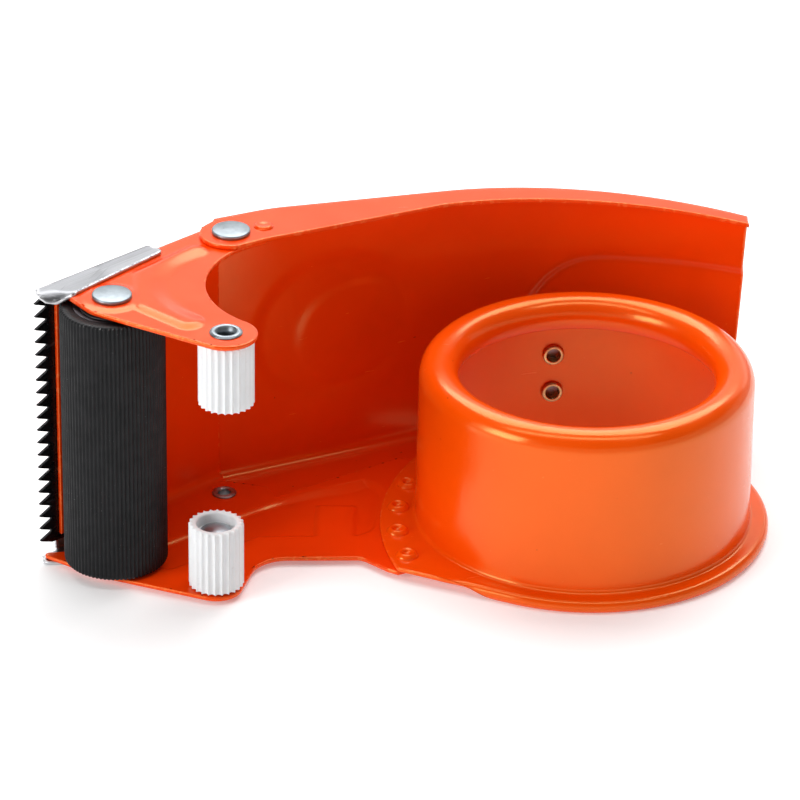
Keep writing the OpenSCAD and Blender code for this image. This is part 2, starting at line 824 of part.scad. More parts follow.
module blade_screws() {
    shank = guard_n1 - wall_n0;
    color(steel) screw_places() difference() {
        union() {
            translate([0, 0, 0.1]) cylinder(h = shank, d = screw_d);
            translate([0, 0, shank + eps]) rivet_head(screw_d * 1.9, 1.8);
        }
        for (a = [0, 90]) rotate([0, 0, a])
            translate([-1.5, -0.3, shank + 1]) cube([3, 0.6, 2]);
    }
}

// ---- build -------------------------------------------------------------------------

front_frame();
handle();
hub();
hub_rivets();
hub_eyelets();
spring_foot();
spring_leaf();
top_rivet();
bottom_eyelet();
roller_sleeve();
roller_core();
roller_bush_top();
roller_bush_bottom();
roller_axle();
roller_washers();
upper_guide_roller();
upper_guide_stud();
lower_guide_roller();
lower_guide_stud();
guide_washers();
blade();
blade_guard();
blade_screws();
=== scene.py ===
import math

import bpy
import numpy as np
from mathutils import Matrix, Vector, kdtree
from mathutils.geometry import delaunay_2d_cdt


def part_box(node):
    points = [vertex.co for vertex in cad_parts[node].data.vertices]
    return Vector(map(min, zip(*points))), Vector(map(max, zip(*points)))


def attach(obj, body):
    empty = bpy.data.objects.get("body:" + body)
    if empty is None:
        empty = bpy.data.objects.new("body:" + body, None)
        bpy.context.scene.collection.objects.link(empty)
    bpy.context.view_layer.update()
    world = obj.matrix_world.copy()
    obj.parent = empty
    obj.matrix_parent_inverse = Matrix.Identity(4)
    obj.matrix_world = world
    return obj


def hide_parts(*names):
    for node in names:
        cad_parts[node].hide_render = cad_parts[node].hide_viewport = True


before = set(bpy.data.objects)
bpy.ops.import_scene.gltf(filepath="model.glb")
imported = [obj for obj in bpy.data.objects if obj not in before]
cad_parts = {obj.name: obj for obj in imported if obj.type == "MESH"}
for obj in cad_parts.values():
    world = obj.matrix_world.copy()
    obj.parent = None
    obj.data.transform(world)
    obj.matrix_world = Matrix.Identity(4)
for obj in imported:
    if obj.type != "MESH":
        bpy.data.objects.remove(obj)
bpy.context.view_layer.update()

# Everything below is in millimetres and degrees, and turned into metres in make().
MM = 0.001


def box(node):
    low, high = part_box(node)
    return np.array(low) / MM, np.array(high) / MM


def middle(node):
    """A node's middle, seen from above."""
    low, high = box(node)
    return (low + high)[:2] / 2


def xy(*p):
    return np.array(p, float)


def ray(r, turn):
    return r * xy(math.cos(math.radians(turn)), math.sin(math.radians(turn)))


# ---- places, from the frame ----

SHEET = 1.0
PLATE_Z = SHEET
PLATE_TOP = 2 * SHEET
BEAD = 0.7
LAP_GAP = 0.05
EYELET_HOLE = 2.1
# Bend radii of the sheets' middle surface, at the foot and at the top
FOOT_R = 2.8
TOP_R = 0.8
BEND_CUTS = 6

ROLLER = middle("roller_sleeve")
ROLLER_LOW, ROLLER_HIGH = box("roller_sleeve")
ROLLER_R = (ROLLER_HIGH[0] - ROLLER_LOW[0]) / 2
UPPER = middle("upper_guide_stud")
LOWER = middle("lower_guide_stud")
CORNER_R = 8
UPPER_CORNER_R = 6.8
LOWER_CORNER_R = 5.8
JOINT = middle("top_rivet")
LOBE = JOINT - (0, 1.7)
EYELET = middle("bottom_eyelet")
BRACKET_Z = box("roller_washers")[1][2]
BRACKET_TOP = BRACKET_Z + SHEET
GRIP_TOP = BRACKET_TOP + SHEET
HUB_H = box("hub")[1][2]

WALL_TURN = 45
ALONG = ray(1, WALL_TURN)
OUT = xy(-ALONG[1], ALONG[0])
WALL_LEN = 47.5
WALL_U0 = ROLLER @ ALONG - 5.6
WALL_U1 = WALL_U0 + WALL_LEN
WALL_N0 = ROLLER @ OUT + ROLLER_R + 0.4
WALL_N1 = WALL_N0 + SHEET
TIP_U = WALL_U0 - 5.2
LAP_N = WALL_N1 + LAP_GAP

THROAT = xy(-60, -14.5)
THROAT_R = math.hypot(*(THROAT - UPPER)) - 6.79
NOTCH, NOTCH_R = xy(-65.3, -30.4), 8.2
TONGUE_CORNER = xy(-44.4, -26.4)
TONGUE_C, TONGUE_R = xy(15.2, -5.8), 60.7

HUB_R = 37.3
HUB_FOOT_R = HUB_R + 0.35
RIM_R = 4.4
RIM_TURN = 225
# Where the spring clip's eyelets go through the drum's wall
CLIP_TURN = 100
CLIP_Z = (14.3, 23.9)
FLANGE_R = 42.0
CURL_R = 1.5
CURL_BACK = 142
TANGENT_TURN = math.degrees(math.atan2(TONGUE_CORNER[1], TONGUE_CORNER[0])
                            + math.acos(FLANGE_R / math.hypot(*TONGUE_CORNER)))
TANGENT = ray(FLANGE_R, TANGENT_TURN)
LEAD = (TONGUE_CORNER - TANGENT) / math.hypot(*(TONGUE_CORNER - TANGENT))
INWARD = xy(LEAD[1], -LEAD[0])

HANDLE_TURN = 26
HANDLE_R = 92.0
HANDLE_END = box("handle")[1][0]
HANDLE_END_H = 56.0
HANDLE_RAKE = 2.4
BEND_DIR = ray(1, HANDLE_TURN)
BEND_OUT = xy(-BEND_DIR[1], BEND_DIR[0])


def at(u, n):
    """A point seen from above, u along the front wall and n out of its back."""
    return u * ALONG + n * OUT


def upright(u, n, z):
    """The same for arrays of points with a height."""
    return np.stack([u * ALONG[0] + n * OUT[0], u * ALONG[1] + n * OUT[1], z], axis=-1)


# ---- outlines ----

STEP = 0.75


def even(points, close=True):
    """The same line with no gap between its points longer than STEP."""
    out = []
    ends = points[1:] + points[:1] if close else points[1:]
    for a, b in zip(points, ends):
        n = max(1, math.ceil(math.hypot(*(b - a)) / STEP - 1e-6))
        out += [a + (b - a) * k / n for k in range(n)]
    return out if close else out + [points[-1]]


def arc(c, r, start, stop):
    """Points of an arc, angles in degrees."""
    n = max(2, math.ceil(abs(math.radians(stop - start)) * r / STEP))
    return [c + ray(r, start + (stop - start) * k / n) for k in range(n + 1)]


def belt(items):
    """Outline of a belt round circles, counter-clockwise. An item is (centre, radius): the radius
    is below 0 where the belt bends the other way, and 0 at a plain point."""
    turns = []
    for (c, r), (d, s) in zip(items, items[1:] + items[:1]):
        gap = d - c
        lean = max(-1.0, min(1.0, (s - r) / math.hypot(*gap)))
        turns.append(math.atan2(gap[1], gap[0]) - math.asin(lean))
    out = []
    for i, (c, r) in enumerate(items):
        if r == 0:
            out.append(np.array(c, float))
            continue
        sweep = (turns[i] - turns[i - 1]) % (2 * math.pi)
        if r < 0:
            sweep -= 2 * math.pi
        if abs(abs(sweep) - 2 * math.pi) < 0.02:
            sweep = 0
        n = max(1, math.ceil(abs(sweep * r) / STEP), math.ceil(abs(sweep) / 0.35))
        for k in range(n + 1):
            t = turns[i - 1] + sweep * k / n
            out.append(c + r * xy(math.sin(t), -math.cos(t)))
    return even([p for p, q in zip(out, out[1:] + out[:1]) if math.hypot(*(p - q)) > 1e-3])


def ring(c, r):
    n = max(12, math.ceil(2 * math.pi * r / STEP))
    return [c + ray(r, 360 * k / n) for k in range(n)]


def crossing(c, r, d, s, side):
    """Where two circles cross."""
    gap = d - c
    length = math.hypot(*gap)
    along = (length ** 2 + r ** 2 - s ** 2) / (2 * length)
    up = side * math.sqrt(max(0.0, r ** 2 - along ** 2))
    gap = gap / length
    return c + along * gap + up * xy(-gap[1], gap[0])


def spot_of(outline, point):
    """The number of the outline's point that lies at this place."""
    return [k for k, p in enumerate(outline) if math.hypot(*(p - point)) < 1e-3][0]


def inside(points, loop):
    """Which of the points lie inside the loop."""
    x, y = points[:, 0:1], points[:, 1:2]
    a = np.array(loop)
    b = np.roll(a, -1, axis=0)
    spans = (a[:, 1] > y) != (b[:, 1] > y)
    rise = np.where(b[:, 1] == a[:, 1], 1e-9, b[:, 1] - a[:, 1])
    cross = a[:, 0] + (y - a[:, 1]) * (b[:, 0] - a[:, 0]) / rise
    return (spans & (x < cross)).sum(axis=1) % 2 == 1


# ---- surfaces ----

def fill(outline, holes=(), pitch=0.8):
    """Triangles inside an outline seen from above, counter-clockwise, with an even grid of points."""
    loops = [list(outline)] + [list(h) for h in holes]
    points = [p for loop in loops for p in loop]
    edges, first = [], 0
    for loop in loops:
        edges += [(first + k, first + (k + 1) % len(loop)) for k in range(len(loop))]
        first += len(loop)
    rim = np.array(points)
    low, high = rim.min(axis=0), rim.max(axis=0)
    rows = np.arange(low[1], high[1], pitch * 0.866)
    cols = np.arange(low[0], high[0], pitch)
    grid = np.array([(x + (j % 2) * pitch / 2, y) for j, y in enumerate(rows) for x in cols])
    keep = inside(grid, loops[0])
    for hole in loops[1:]:
        keep &= ~inside(grid, hole)
    grid = grid[keep]
    near = np.array([((rim - p) ** 2).sum(axis=1).min() for p in grid])
    points = np.vstack([rim, grid[near > (0.62 * pitch) ** 2]])
    verts, _, faces, origin, _, _ = delaunay_2d_cdt([Vector(p) for p in points], edges, [], 0, 1e-7)
    flat = np.array([points[o[0]] if o else v[:] for o, v in zip(origin, verts)])
    faces = np.array([f[:] for f in faces])
    centre = flat[faces].mean(axis=1)
    keep = inside(centre, loops[0])
    for hole in loops[1:]:
        keep &= ~inside(centre, hole)
    faces = faces[keep]
    a, b, c = (flat[faces[:, k]] for k in range(3))
    ab, ac = b - a, c - a
    area = ab[:, 0] * ac[:, 1] - ab[:, 1] * ac[:, 0]
    faces[area < 0] = faces[area < 0][:, ::-1]
    return flat, faces[abs(area) > 1e-6].tolist()


def spread(a, m, b, n, c):
    """Numbers from a to c, in m even steps as far as b and n from there."""
    return np.concatenate([np.linspace(a, b, m + 1)[:-1], np.linspace(b, c, n + 1)])


def grid_faces(rows, cols, keep=None, closed=False):
    """Quads of a grid numbered row by row. closed joins the last column to the first."""
    out = []
    for i in range(rows - 1):
        for j in range(cols if closed else cols - 1):
            if keep is None or keep(i, j):
                k = (j + 1) % cols
                out.append([i * cols + j, i * cols + k, (i + 1) * cols + k, (i + 1) * cols + j])
    return out


def weld(*patches):
    """Joins surfaces at the points that they share."""
    points = np.vstack([p for p, _ in patches])
    _, first, index = np.unique(np.round(points, 3), axis=0, return_index=True, return_inverse=True)
    index = index.reshape(-1)
    faces, base = [], 0
    for p, fs in patches:
        for f in fs:
            ids = [int(index[base + k]) for k in f]
            ids = [k for n, k in enumerate(ids) if k != ids[n - 1]]
            if len(ids) > 2:
                faces.append(ids)
        base += len(p)
    points = points[first]
    used = sorted({k for f in faces for k in f})
    place = {k: n for n, k in enumerate(used)}
    return points[used], [[place[k] for k in f] for f in faces]


def flip(patch):
    return patch[0], [f[::-1] for f in patch[1]]


def normals(points, faces):
    """Unit normal at each point, weighted by area."""
    n = np.zeros_like(points)
    for size in (3, 4):
        some = np.array([f for f in faces if len(f) == size], dtype=int).reshape(-1, size)
        if len(some):
            p = [points[some[:, k]] for k in range(size)]
            a, b = (p[2] - p[0], p[3] - p[1]) if size == 4 else (p[1] - p[0], p[2] - p[0])
            for k in range(size):
                np.add.at(n, some[:, k], np.cross(a, b))
    return n / np.maximum(np.linalg.norm(n, axis=1, keepdims=True), 1e-12)


def thicken(patch, t=SHEET, r=0.32):
    """A pressed sheet: the middle surface made t thick, with edges rounded by r. The third result
    says how near each point is to an edge."""
    points, faces = patch
    n = normals(points, faces)
    sides = {(f[k - 1], f[k]) for f in faces for k in range(len(f))}
    border = sorted((a, b) for a, b in sides if (b, a) not in sides)
    inward = np.zeros_like(points)
    for a, b in border:
        e = points[b] - points[a]
        for k in (a, b):
            v = np.cross(n[k], e)
            inward[k] += v / max(np.linalg.norm(v), 1e-9)
    rim = sorted({k for e in border for k in e})
    spot = {k: i for i, k in enumerate(rim)}
    inward[rim] /= np.maximum(np.linalg.norm(inward[rim], axis=1, keepdims=True), 1e-9)
    top, low = points + n * t / 2, points - n * t / 2
    top[rim] += inward[rim] * r
    low[rim] += inward[rim] * r
    rows = []
    for side, turn in ((1, 30), (1, 60), (1, 90), (-1, 90), (-1, 60), (-1, 30)):
        a = math.radians(turn)
        rows.append(points[rim] + inward[rim] * r * (1 - math.sin(a))
                    + side * n[rim] * (t / 2 - r + r * math.cos(a)))
    count, edge = len(points), len(rim)
    out = [list(f) for f in faces] + [[k + count for k in f[::-1]] for f in faces]
    for a, b in border:
        chain_a, chain_b = ([k, *range(2 * count + spot[k], 2 * count + len(rows) * edge, edge),
                             k + count] for k in (a, b))
        for i in range(len(rows) + 1):
            out.append([chain_b[i], chain_a[i], chain_a[i + 1], chain_b[i + 1]])
    tree = kdtree.KDTree(edge)
    for i, k in enumerate(rim):
        tree.insert(Vector(points[k]), i)
    tree.balance()
    near = np.array([math.exp(-tree.find(Vector(p))[2] / 0.7) for p in points])
    return np.vstack([top, low] + rows), out, np.concatenate([near, near, np.ones(len(rows) * edge)])


def channel(s, n_mid, low, high, foot=FOOT_R, top=TOP_R):
    """Points of a bend, a wall and a bend: s runs from the lower flange's edge to the upper one's."""
    q = math.pi / 2 * foot
    tall = high - low - foot - top
    where = [s < q, s < q + tall]
    n = np.select(where, [foot * np.sin(s / foot) - foot, 0], top * np.cos((s - q - tall) / top) - top)
    z = np.select(where, [foot - foot * np.cos(s / foot), foot + s - q],
                  foot + tall + top * np.sin((s - q - tall) / top))
    return n + n_mid, z + low


def channel_rows(low, high, foot=FOOT_R, top=TOP_R, pitch=0.95):
    """The values of s for a channel's rows of points."""
    q = math.pi / 2 * foot
    tall = high - low - foot - top
    n = math.ceil(tall / pitch)
    return np.concatenate([np.linspace(0, q, BEND_CUTS)[:-1], q + tall * np.arange(n) / n,
                           q + tall + np.linspace(0, math.pi / 2 * top, BEND_CUTS)])


# ---- making objects ----

def link(name, points, faces, material):
    """A smooth mesh object from points in millimetres."""
    mesh = bpy.data.meshes.new(name)
    mesh.from_pydata((np.asarray(points) * MM).tolist(), [], faces)
    mesh.polygons.foreach_set("use_smooth", [True] * len(mesh.polygons))
    mesh.materials.append(material)
    obj = bpy.data.objects.new(name, mesh)
    bpy.context.scene.collection.objects.link(obj)
    return obj, mesh


def make(name, part, material, node, body="frame"):
    """A piece of the object. The part is (points, faces) or (points, faces, nearness to an edge)."""
    obj, mesh = link(name, *part[:2], material)
    if len(part) > 2:
        mesh.attributes.new("edge", "FLOAT", "POINT").data.foreach_set("value", part[2])
    mesh.validate()
    mesh.update()
    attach(obj, body)
    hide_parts(node)


def merge(*parts):
    """Several parts as one."""
    points, faces, edges, base = [], [], [], 0
    for part in parts:
        points.append(part[0])
        faces += [[k + base for k in f] for f in part[1]]
        edges.append(part[2] if len(part) > 2 else np.zeros(len(part[0])))
        base += len(part[0])
    return np.vstack(points), faces, np.concatenate(edges)


def rounded(profile, r=0.2, cuts=3):
    """A section with its corners rounded. Each point is (x, y) or (x, y, own radius)."""
    out = []
    n = len(profile)
    for i, p in enumerate(profile):
        own = p[2] if len(p) > 2 else r
        p, a, b = (xy(*q[:2]) for q in (p, profile[i - 1], profile[(i + 1) % n]))
        da, db = a - p, b - p
        la, lb = math.hypot(*da), math.hypot(*db)
        reach = min(own, la * 0.45, lb * 0.45)
        if reach < 0.01:
            out.append(p)
            continue
        a, b = p + da / la * reach, p + db / lb * reach
        out += [(1 - t) ** 2 * a + 2 * t * (1 - t) * p + t ** 2 * b for t in np.linspace(0, 1, cuts + 1)]
    return out


def lathe(profile, centre=(0, 0), turns=64, closed=True):
    """Turns a section of (r, z) about the vertical axis. The section runs so that its outside
    is on its right: out along the bottom, then up."""
    profile = [xy(*p[:2]) for p in profile]
    points, faces, rings = [], [], []
    for p in profile:
        if p[0] < 1e-6:
            rings.append([len(points)])
            points.append((centre[0], centre[1], p[1]))
        else:
            rings.append(list(range(len(points), len(points) + turns)))
            points += [(*(xy(*centre) + ray(p[0], 360 * k / turns)), p[1]) for k in range(turns)]
    pairs = list(zip(rings, rings[1:] + rings[:1])) if closed else list(zip(rings, rings[1:]))
    for a, b in pairs:
        for k in range(turns):
            m = (k + 1) % turns
            f = [a[k % len(a)], a[m % len(a)], b[m % len(b)], b[k % len(b)]]
            f = [v for i, v in enumerate(f) if v != f[i - 1]]
            if len(set(f)) > 2:
                faces.append(f)
    return np.array(points, float), faces


def turned(part, matrix):
    """Points of a part moved by a 4x4 matrix."""
    m = np.array(matrix)
    return (part[0] @ m[:3, :3].T + m[:3, 3], *part[1:])


# ---- materials ----

class Nodes:
    """A material under construction."""

    def __init__(self, name, **shader):
        self.material = bpy.data.materials.new(name)
        self.material.use_nodes = True
        self.tree = self.material.node_tree
        self.shader = self.tree.nodes["Principled BSDF"]
        self.set(**shader)
        self.place = self.tree.nodes.new("ShaderNodeTexCoord").outputs["Object"]

    def set(self, **values):
        for key, value in values.items():
            name = key.replace("_", " ").title().replace("Ior", "IOR")
            self.shader.inputs[name].default_value = value

    def node(self, kind, **values):
        node = self.tree.nodes.new("ShaderNode" + kind)
        for key, value in values.items():
            if key in node.inputs and not key.islower():
                self.feed(value, node.inputs[key])
            else:
                setattr(node, key, value)
        return node

    def feed(self, value, socket):
        if isinstance(value, bpy.types.NodeSocket):
            self.tree.links.new(value, socket)
        else:
            socket.default_value = value

    def stretch(self, scale, turn=0):
        """Object coordinates, turned about Z by so many degrees and then scaled."""
        m = self.node("Mapping", vector_type="TEXTURE")
        self.feed(self.place, m.inputs["Vector"])
        m.inputs["Rotation"].default_value = (0, 0, math.radians(turn))
        m.inputs["Scale"].default_value = tuple(1 / s for s in scale)
        return m.outputs["Vector"]

    def noise(self, size_mm, detail=3, rough=0.5, place=None):
        scale = 1.0 if place is not None else 1 / (size_mm * MM)
        n = self.node("TexNoise", Scale=scale, Detail=detail, Roughness=rough)
        self.feed(place if place is not None else self.place, n.inputs["Vector"])
        return n.outputs["Fac"]

    def ramp(self, value, low, high, a=0.0, b=1.0):
        m = self.node("MapRange", clamp=True)
        for key, v in (("Value", value), ("From Min", low), ("From Max", high),
                       ("To Min", a), ("To Max", b)):
            self.feed(v, m.inputs[key])
        return m.outputs["Result"]

    def maths(self, kind, a, b):
        m = self.node("Math", operation=kind)
        self.feed(a, m.inputs[0])
        self.feed(b, m.inputs[1])
        return m.outputs[0]

    def mix(self, factor, a, b):
        m = self.node("Mix", data_type="RGBA")
        self.feed(factor, m.inputs[0])
        self.feed(a, m.inputs[6])
        self.feed(b, m.inputs[7])
        return m.outputs[2]

    def edge(self):
        return self.node("Attribute", attribute_name="edge").outputs["Fac"]

    def bump(self, height, mm):
        b = self.node("Bump", Strength=1.0, Distance=mm * MM)
        self.feed(height, b.inputs["Height"])
        socket = self.shader.inputs["Normal"]
        if socket.links:
            self.feed(socket.links[0].from_socket, b.inputs["Normal"])
        self.feed(b.outputs["Normal"], socket)

    def colour(self, value):
        self.feed(value, self.shader.inputs["Base Color"])

    def rough(self, value):
        self.feed(value, self.shader.inputs["Roughness"])


def rgb(r, g, b):
    return (r, g, b, 1.0)


def paint(name, green, gloss):
    """Gloss enamel on pressed steel: slight orange peel, drifting colour, chipped at edges, and lighter
    in dotted patches at edges: thinned paint together with a painted highlight.
    """
    m = Nodes(name, roughness=0.2, specular_ior_level=gloss, specular_tint=rgb(1.0, 0.84, 0.27),
              coat_weight=0.02, coat_roughness=0.05)
    drift = m.noise(22, 4)
    base = m.mix(m.ramp(drift, 0.35, 0.68), rgb(0.88, green * 0.9, 0.0005), rgb(0.94, green, 0.0008))
    # Painted highlight: edges lighten in dotted patches towards a pale orange, standing for light caught
    # by the edges as well as thinned paint.
    thinned_paint_and_sheen = m.maths("MULTIPLY", m.edge(), m.ramp(m.noise(1.6, 3), 0.42, 0.62))
    base = m.mix(m.ramp(thinned_paint_and_sheen, 0.6, 1.0, 0, 0.3), base, rgb(1.0, 0.22, 0.06))
    chip = m.maths("MULTIPLY", m.ramp(m.edge(), 0.7, 0.95), m.ramp(m.noise(0.9, 4, 0.6), 0.87, 0.91))
    speck = m.ramp(m.noise(1.3, 2, 0.4), 0.80, 0.815)
    base = m.mix(chip, base, rgb(0.22, 0.06, 0.04))
    m.colour(m.mix(speck, base, rgb(0.30, 0.02, 0.002)))
    scuff = m.ramp(m.noise(0, 3, 0.6, m.stretch((90, 1500, 900), 20)), 0.70, 0.80)
    m.rough(m.maths("ADD", m.ramp(m.noise(9, 3), 0.3, 0.7, 0.16, 0.25),
                    m.maths("MULTIPLY", m.maths("ADD", scuff, chip), 0.15)))
    m.bump(m.noise(1.1, 2, 0.4), 0.012)
    m.bump(m.noise(7, 2, 0.4), 0.03)
    m.bump(chip, -0.04)
    return m.material


def steel(name, tone, rough, size, patina=None):
    """Zinc plated or bare steel with a mottled crystal tone and fine pits."""
    m = Nodes(name, metallic=1.0, specular_ior_level=0.5)
    crystal = m.node("TexVoronoi", Scale=1 / (size * 3 * MM))
    m.feed(m.place, crystal.inputs["Vector"])
    tint = m.ramp(m.noise(size * 4, 4, 0.6), 0.3, 0.7)
    dark, light = (rgb(*(c * k for c in tone)) for k in (0.72, 1.0))
    shade = m.mix(tint, dark, light)
    if patina:
        shade = m.mix(m.ramp(m.noise(size * 9, 3), 0.5, 0.75, 0, 0.6), shade, rgb(*patina))
    m.colour(shade)
    m.rough(m.ramp(crystal.outputs["Distance"], 0.0, 0.7, rough * 0.75, rough * 1.35))
    m.bump(m.noise(size, 4, 0.6), 0.012)
    m.bump(m.noise(size * 6, 2, 0.5), 0.03)
    return m.material


def brushed(name, turn):
    """Stainless sheet with a fine grain along one direction and a few crossing scratches, and a painted
    highlight that lightens its edges.
    """
    m = Nodes(name, metallic=1.0, anisotropic=0.45)
    grain = m.noise(0, 5, 0.7, m.stretch((70, 5200, 5200), turn))
    long = m.noise(0, 3, 0.6, m.stretch((25, 1300, 1300), turn))
    scratch = m.ramp(m.noise(0, 2, 0.5, m.stretch((60, 2600, 800), turn + 24)), 0.66, 0.72)
    tone = m.mix(m.ramp(grain, 0.3, 0.7), rgb(0.20, 0.20, 0.21), rgb(0.36, 0.37, 0.38))
    tone = m.mix(m.ramp(long, 0.35, 0.65, 0, 0.6), tone, rgb(0.31, 0.31, 0.33))
    tone = m.mix(m.maths("MULTIPLY", scratch, 0.5), tone, rgb(0.16, 0.16, 0.17))
    # Painted highlight: near its edges the sheet is lightened towards white, standing for light caught
    # by the rounded edges.
    m.colour(m.mix(m.ramp(m.edge(), 0.3, 0.9, 0, 0.7), tone, rgb(0.80, 0.80, 0.82)))
    m.rough(m.ramp(grain, 0.25, 0.75, 0.34, 0.50))
    m.bump(grain, 0.010)
    m.bump(scratch, -0.012)
    return m.material


def rubber():
    """Black rubber: worn whitish on the ribs' tops at the ends, with dust in places."""
    m = Nodes("black_rubber", specular_ior_level=0.25)
    tone = m.mix(m.ramp(m.noise(6, 4), 0.3, 0.7), rgb(0.004, 0.0042, 0.005), rgb(0.008, 0.0083, 0.0095))
    worn = m.maths("MULTIPLY", m.ramp(m.edge(), 0.45, 0.8), m.ramp(m.noise(0.7, 3, 0.6), 0.46, 0.60))
    worn = m.maths("MULTIPLY", worn, m.ramp(m.noise(9, 2, 0.5), 0.42, 0.60))
    tone = m.mix(m.maths("MULTIPLY", worn, 0.9), tone, rgb(0.42, 0.42, 0.40))
    dust = m.maths("MULTIPLY", m.ramp(m.noise(0.35, 2, 0.5), 0.70, 0.76),
                   m.ramp(m.noise(9, 2), 0.45, 0.6))
    m.colour(m.mix(m.maths("MULTIPLY", dust, 0.35), tone, rgb(0.35, 0.35, 0.36)))
    m.rough(m.ramp(m.noise(2.5, 3), 0.3, 0.7, 0.42, 0.6))
    m.bump(m.noise(0.25, 3, 0.6), 0.015)
    return m.material


def plastic(name, tone, soft):
    """Moulded plastic with a faint flow pattern and scuffs."""
    m = Nodes(name, subsurface_weight=soft, subsurface_scale=0.002, subsurface_radius=(1.0, 0.9, 0.8))
    dark = rgb(*(c * 0.93 for c in tone))
    flow = m.noise(0, 3, 0.5, m.stretch((260, 260, 90)))
    base = m.mix(m.ramp(flow, 0.35, 0.65), dark, rgb(*tone))
    grime = m.ramp(m.noise(0.8, 4, 0.6), 0.62, 0.74, 0, 0.35)
    m.colour(m.mix(grime, base, rgb(*(c * 0.72 for c in tone))))
    m.rough(m.ramp(m.noise(1.8, 3), 0.3, 0.7, 0.32, 0.46))
    m.bump(m.noise(0.5, 3, 0.5), 0.008)
    return m.material


def blade_steel():
    """Blackened spring steel: satin, scratched, with streaks of bare, lighter steel across it."""
    m = Nodes("black_steel", metallic=0.7, specular_ior_level=0.5)
    wear = m.ramp(m.noise(0, 3, 0.6, m.stretch((120, 2200, 500), WALL_TURN)), 0.66, 0.74)
    tone = m.mix(m.ramp(m.noise(4, 4), 0.3, 0.7), rgb(0.010, 0.010, 0.011), rgb(0.022, 0.022, 0.025))
    m.colour(m.mix(m.maths("MULTIPLY", wear, 0.5), tone, rgb(0.12, 0.12, 0.13)))
    m.rough(m.ramp(m.noise(1.5, 3), 0.3, 0.7, 0.22, 0.38))
    m.bump(m.noise(0.4, 3, 0.6), 0.010)
    return m.material


# One orange enamel in two copies: the drum's copy has more green and more gloss, a painted lighter tone
# for the strong light on the drum and its rivets.
PAINT = paint("orange_enamel", 0.052, 0.85)
LIT_DRUM_PAINT = paint("drum_enamel_lit_copy", 0.082, 0.95)
GUARD = brushed("brushed_stainless", WALL_TURN)
SPRING = brushed("spring_steel", 0)
ZINC = steel("zinc_steel", (0.33, 0.37, 0.40), 0.34, size=0.6)
TUBE = steel("tube_steel", (0.10, 0.10, 0.11), 0.45, size=0.5)
DARK = steel("dark_steel", (0.42, 0.42, 0.43), 0.34, size=0.4, patina=(0.10, 0.09, 0.085))
BRASS = steel("eyelet_brass", (0.72, 0.52, 0.24), 0.26, size=0.4, patina=(0.42, 0.28, 0.12))
RUBBER = rubber()
WHITE = plastic("white_plastic", (0.88, 0.89, 0.90), 0.12)
BUSH = plastic("bush_plastic", (0.035, 0.035, 0.037), 0.0)
BLADE = blade_steel()


# ---- frame ----

def step_up(value, low, high):
    """A soft step from 0 at low to 1 at high."""
    t = np.clip((value - low) / (high - low), 0, 1)
    return t * t * (3 - 2 * t)


def capsule(p, a, ra, b, rb):
    """Signed distance from the area of two circles and what joins them."""
    a, b = xy(*a), xy(*b)
    t = np.clip(((p - a) @ (b - a)) / ((b - a) @ (b - a)), 0, 1)
    return np.linalg.norm(p - a - t[:, None] * (b - a), axis=1) - (ra + (rb - ra) * t)


def capsules(p, *bars):
    """Signed distance from several capsules, each ((x, y), radius, (x, y), radius)."""
    return np.min([capsule(p, *bar) for bar in bars], axis=0)


# The bracket is pressed up round the roller's axle, and in a bent ridge round the throat
BOSS, BOSS_R = 0.35, 6.3
RIDGE = [((-86.6, 0.2), 2.2), ((-96.2, -12.2), 3.0), ((-94.6, -26.2), 3.6), ((-86.6, -34.2), 2.8)]
RIDGE_MIDDLE = xy(-76, -16)
HOLLOW, HOLLOW_R, HOLLOW_SLOPE = xy(-74.7, -16.4), 16.6, 5.2


def bracket_bead(p):
    """How far the bracket is pressed up."""
    d = capsules(p, *((*a, *b) for a, b in zip(RIDGE, RIDGE[1:])))
    core = inside(p, [xy(*c) for c, _ in RIDGE] + [RIDGE_MIDDLE])
    d = np.minimum(d, np.where(core, -2.5, 9.0))
    to_throat = np.linalg.norm(p - HOLLOW, axis=1) - HOLLOW_R
    boss = np.linalg.norm(p - ROLLER, axis=1) - BOSS_R
    ridge = np.minimum(step_up(-d, -1.1, 1.3), step_up(to_throat, 0, HOLLOW_SLOPE)) * BEAD
    return np.maximum(ridge, step_up(-boss, -1.2, 1.2) * BOSS)


# The plate is pressed down in a wide tongue, with a level pad left in it. Its side towards the
# handle slopes from the upper to the lower line, and widens as it nears the drum.
TONGUE_TIP, TONGUE_FORK, TONGUE_BEND = (-93, -23), (-74.5, -7.6), (-60, 2.5)
TONGUE_BACK, TONGUE_FRONT = (-52, 7), (-52.6, -5.2)
SLOPE_TOP = [-72, -69, -63.8, -57, -50.3, -44.9, -40], [1.2, 3.4, 7.5, 10.6, 14.1, 18.5, 24]
SLOPE_FOOT = [-72, -69, -61.5, -52.5, -45, -40], [0, 1.9, 5.5, 9.1, 14.1, 18]
PAD, PAD_HALF = xy(-55.5, -6.5), xy(4.2, 8.7)


def plate_bead(p):
    """How far the plate is pressed down."""
    d = capsules(p, (TONGUE_TIP, 5, TONGUE_FORK, 5), (TONGUE_FORK, 5, TONGUE_BEND, 6),
                 (TONGUE_BEND, 6, TONGUE_BACK, 7), (TONGUE_FORK, 5, TONGUE_FRONT, 6.4),
                 (TONGUE_BACK, 7, TONGUE_FRONT, 6.4))
    high, low = (np.interp(p[:, 0], *line) for line in (SLOPE_TOP, SLOPE_FOOT))
    side = np.clip((high - p[:, 1]) / (high - low), 0, 1)
    pad = np.max(np.abs(p - PAD) - PAD_HALF, axis=1)
    return np.minimum(step_up(-d, -0.9, 0.9), side) * BEAD * (1 - step_up(-pad, -0.8, 0.8))


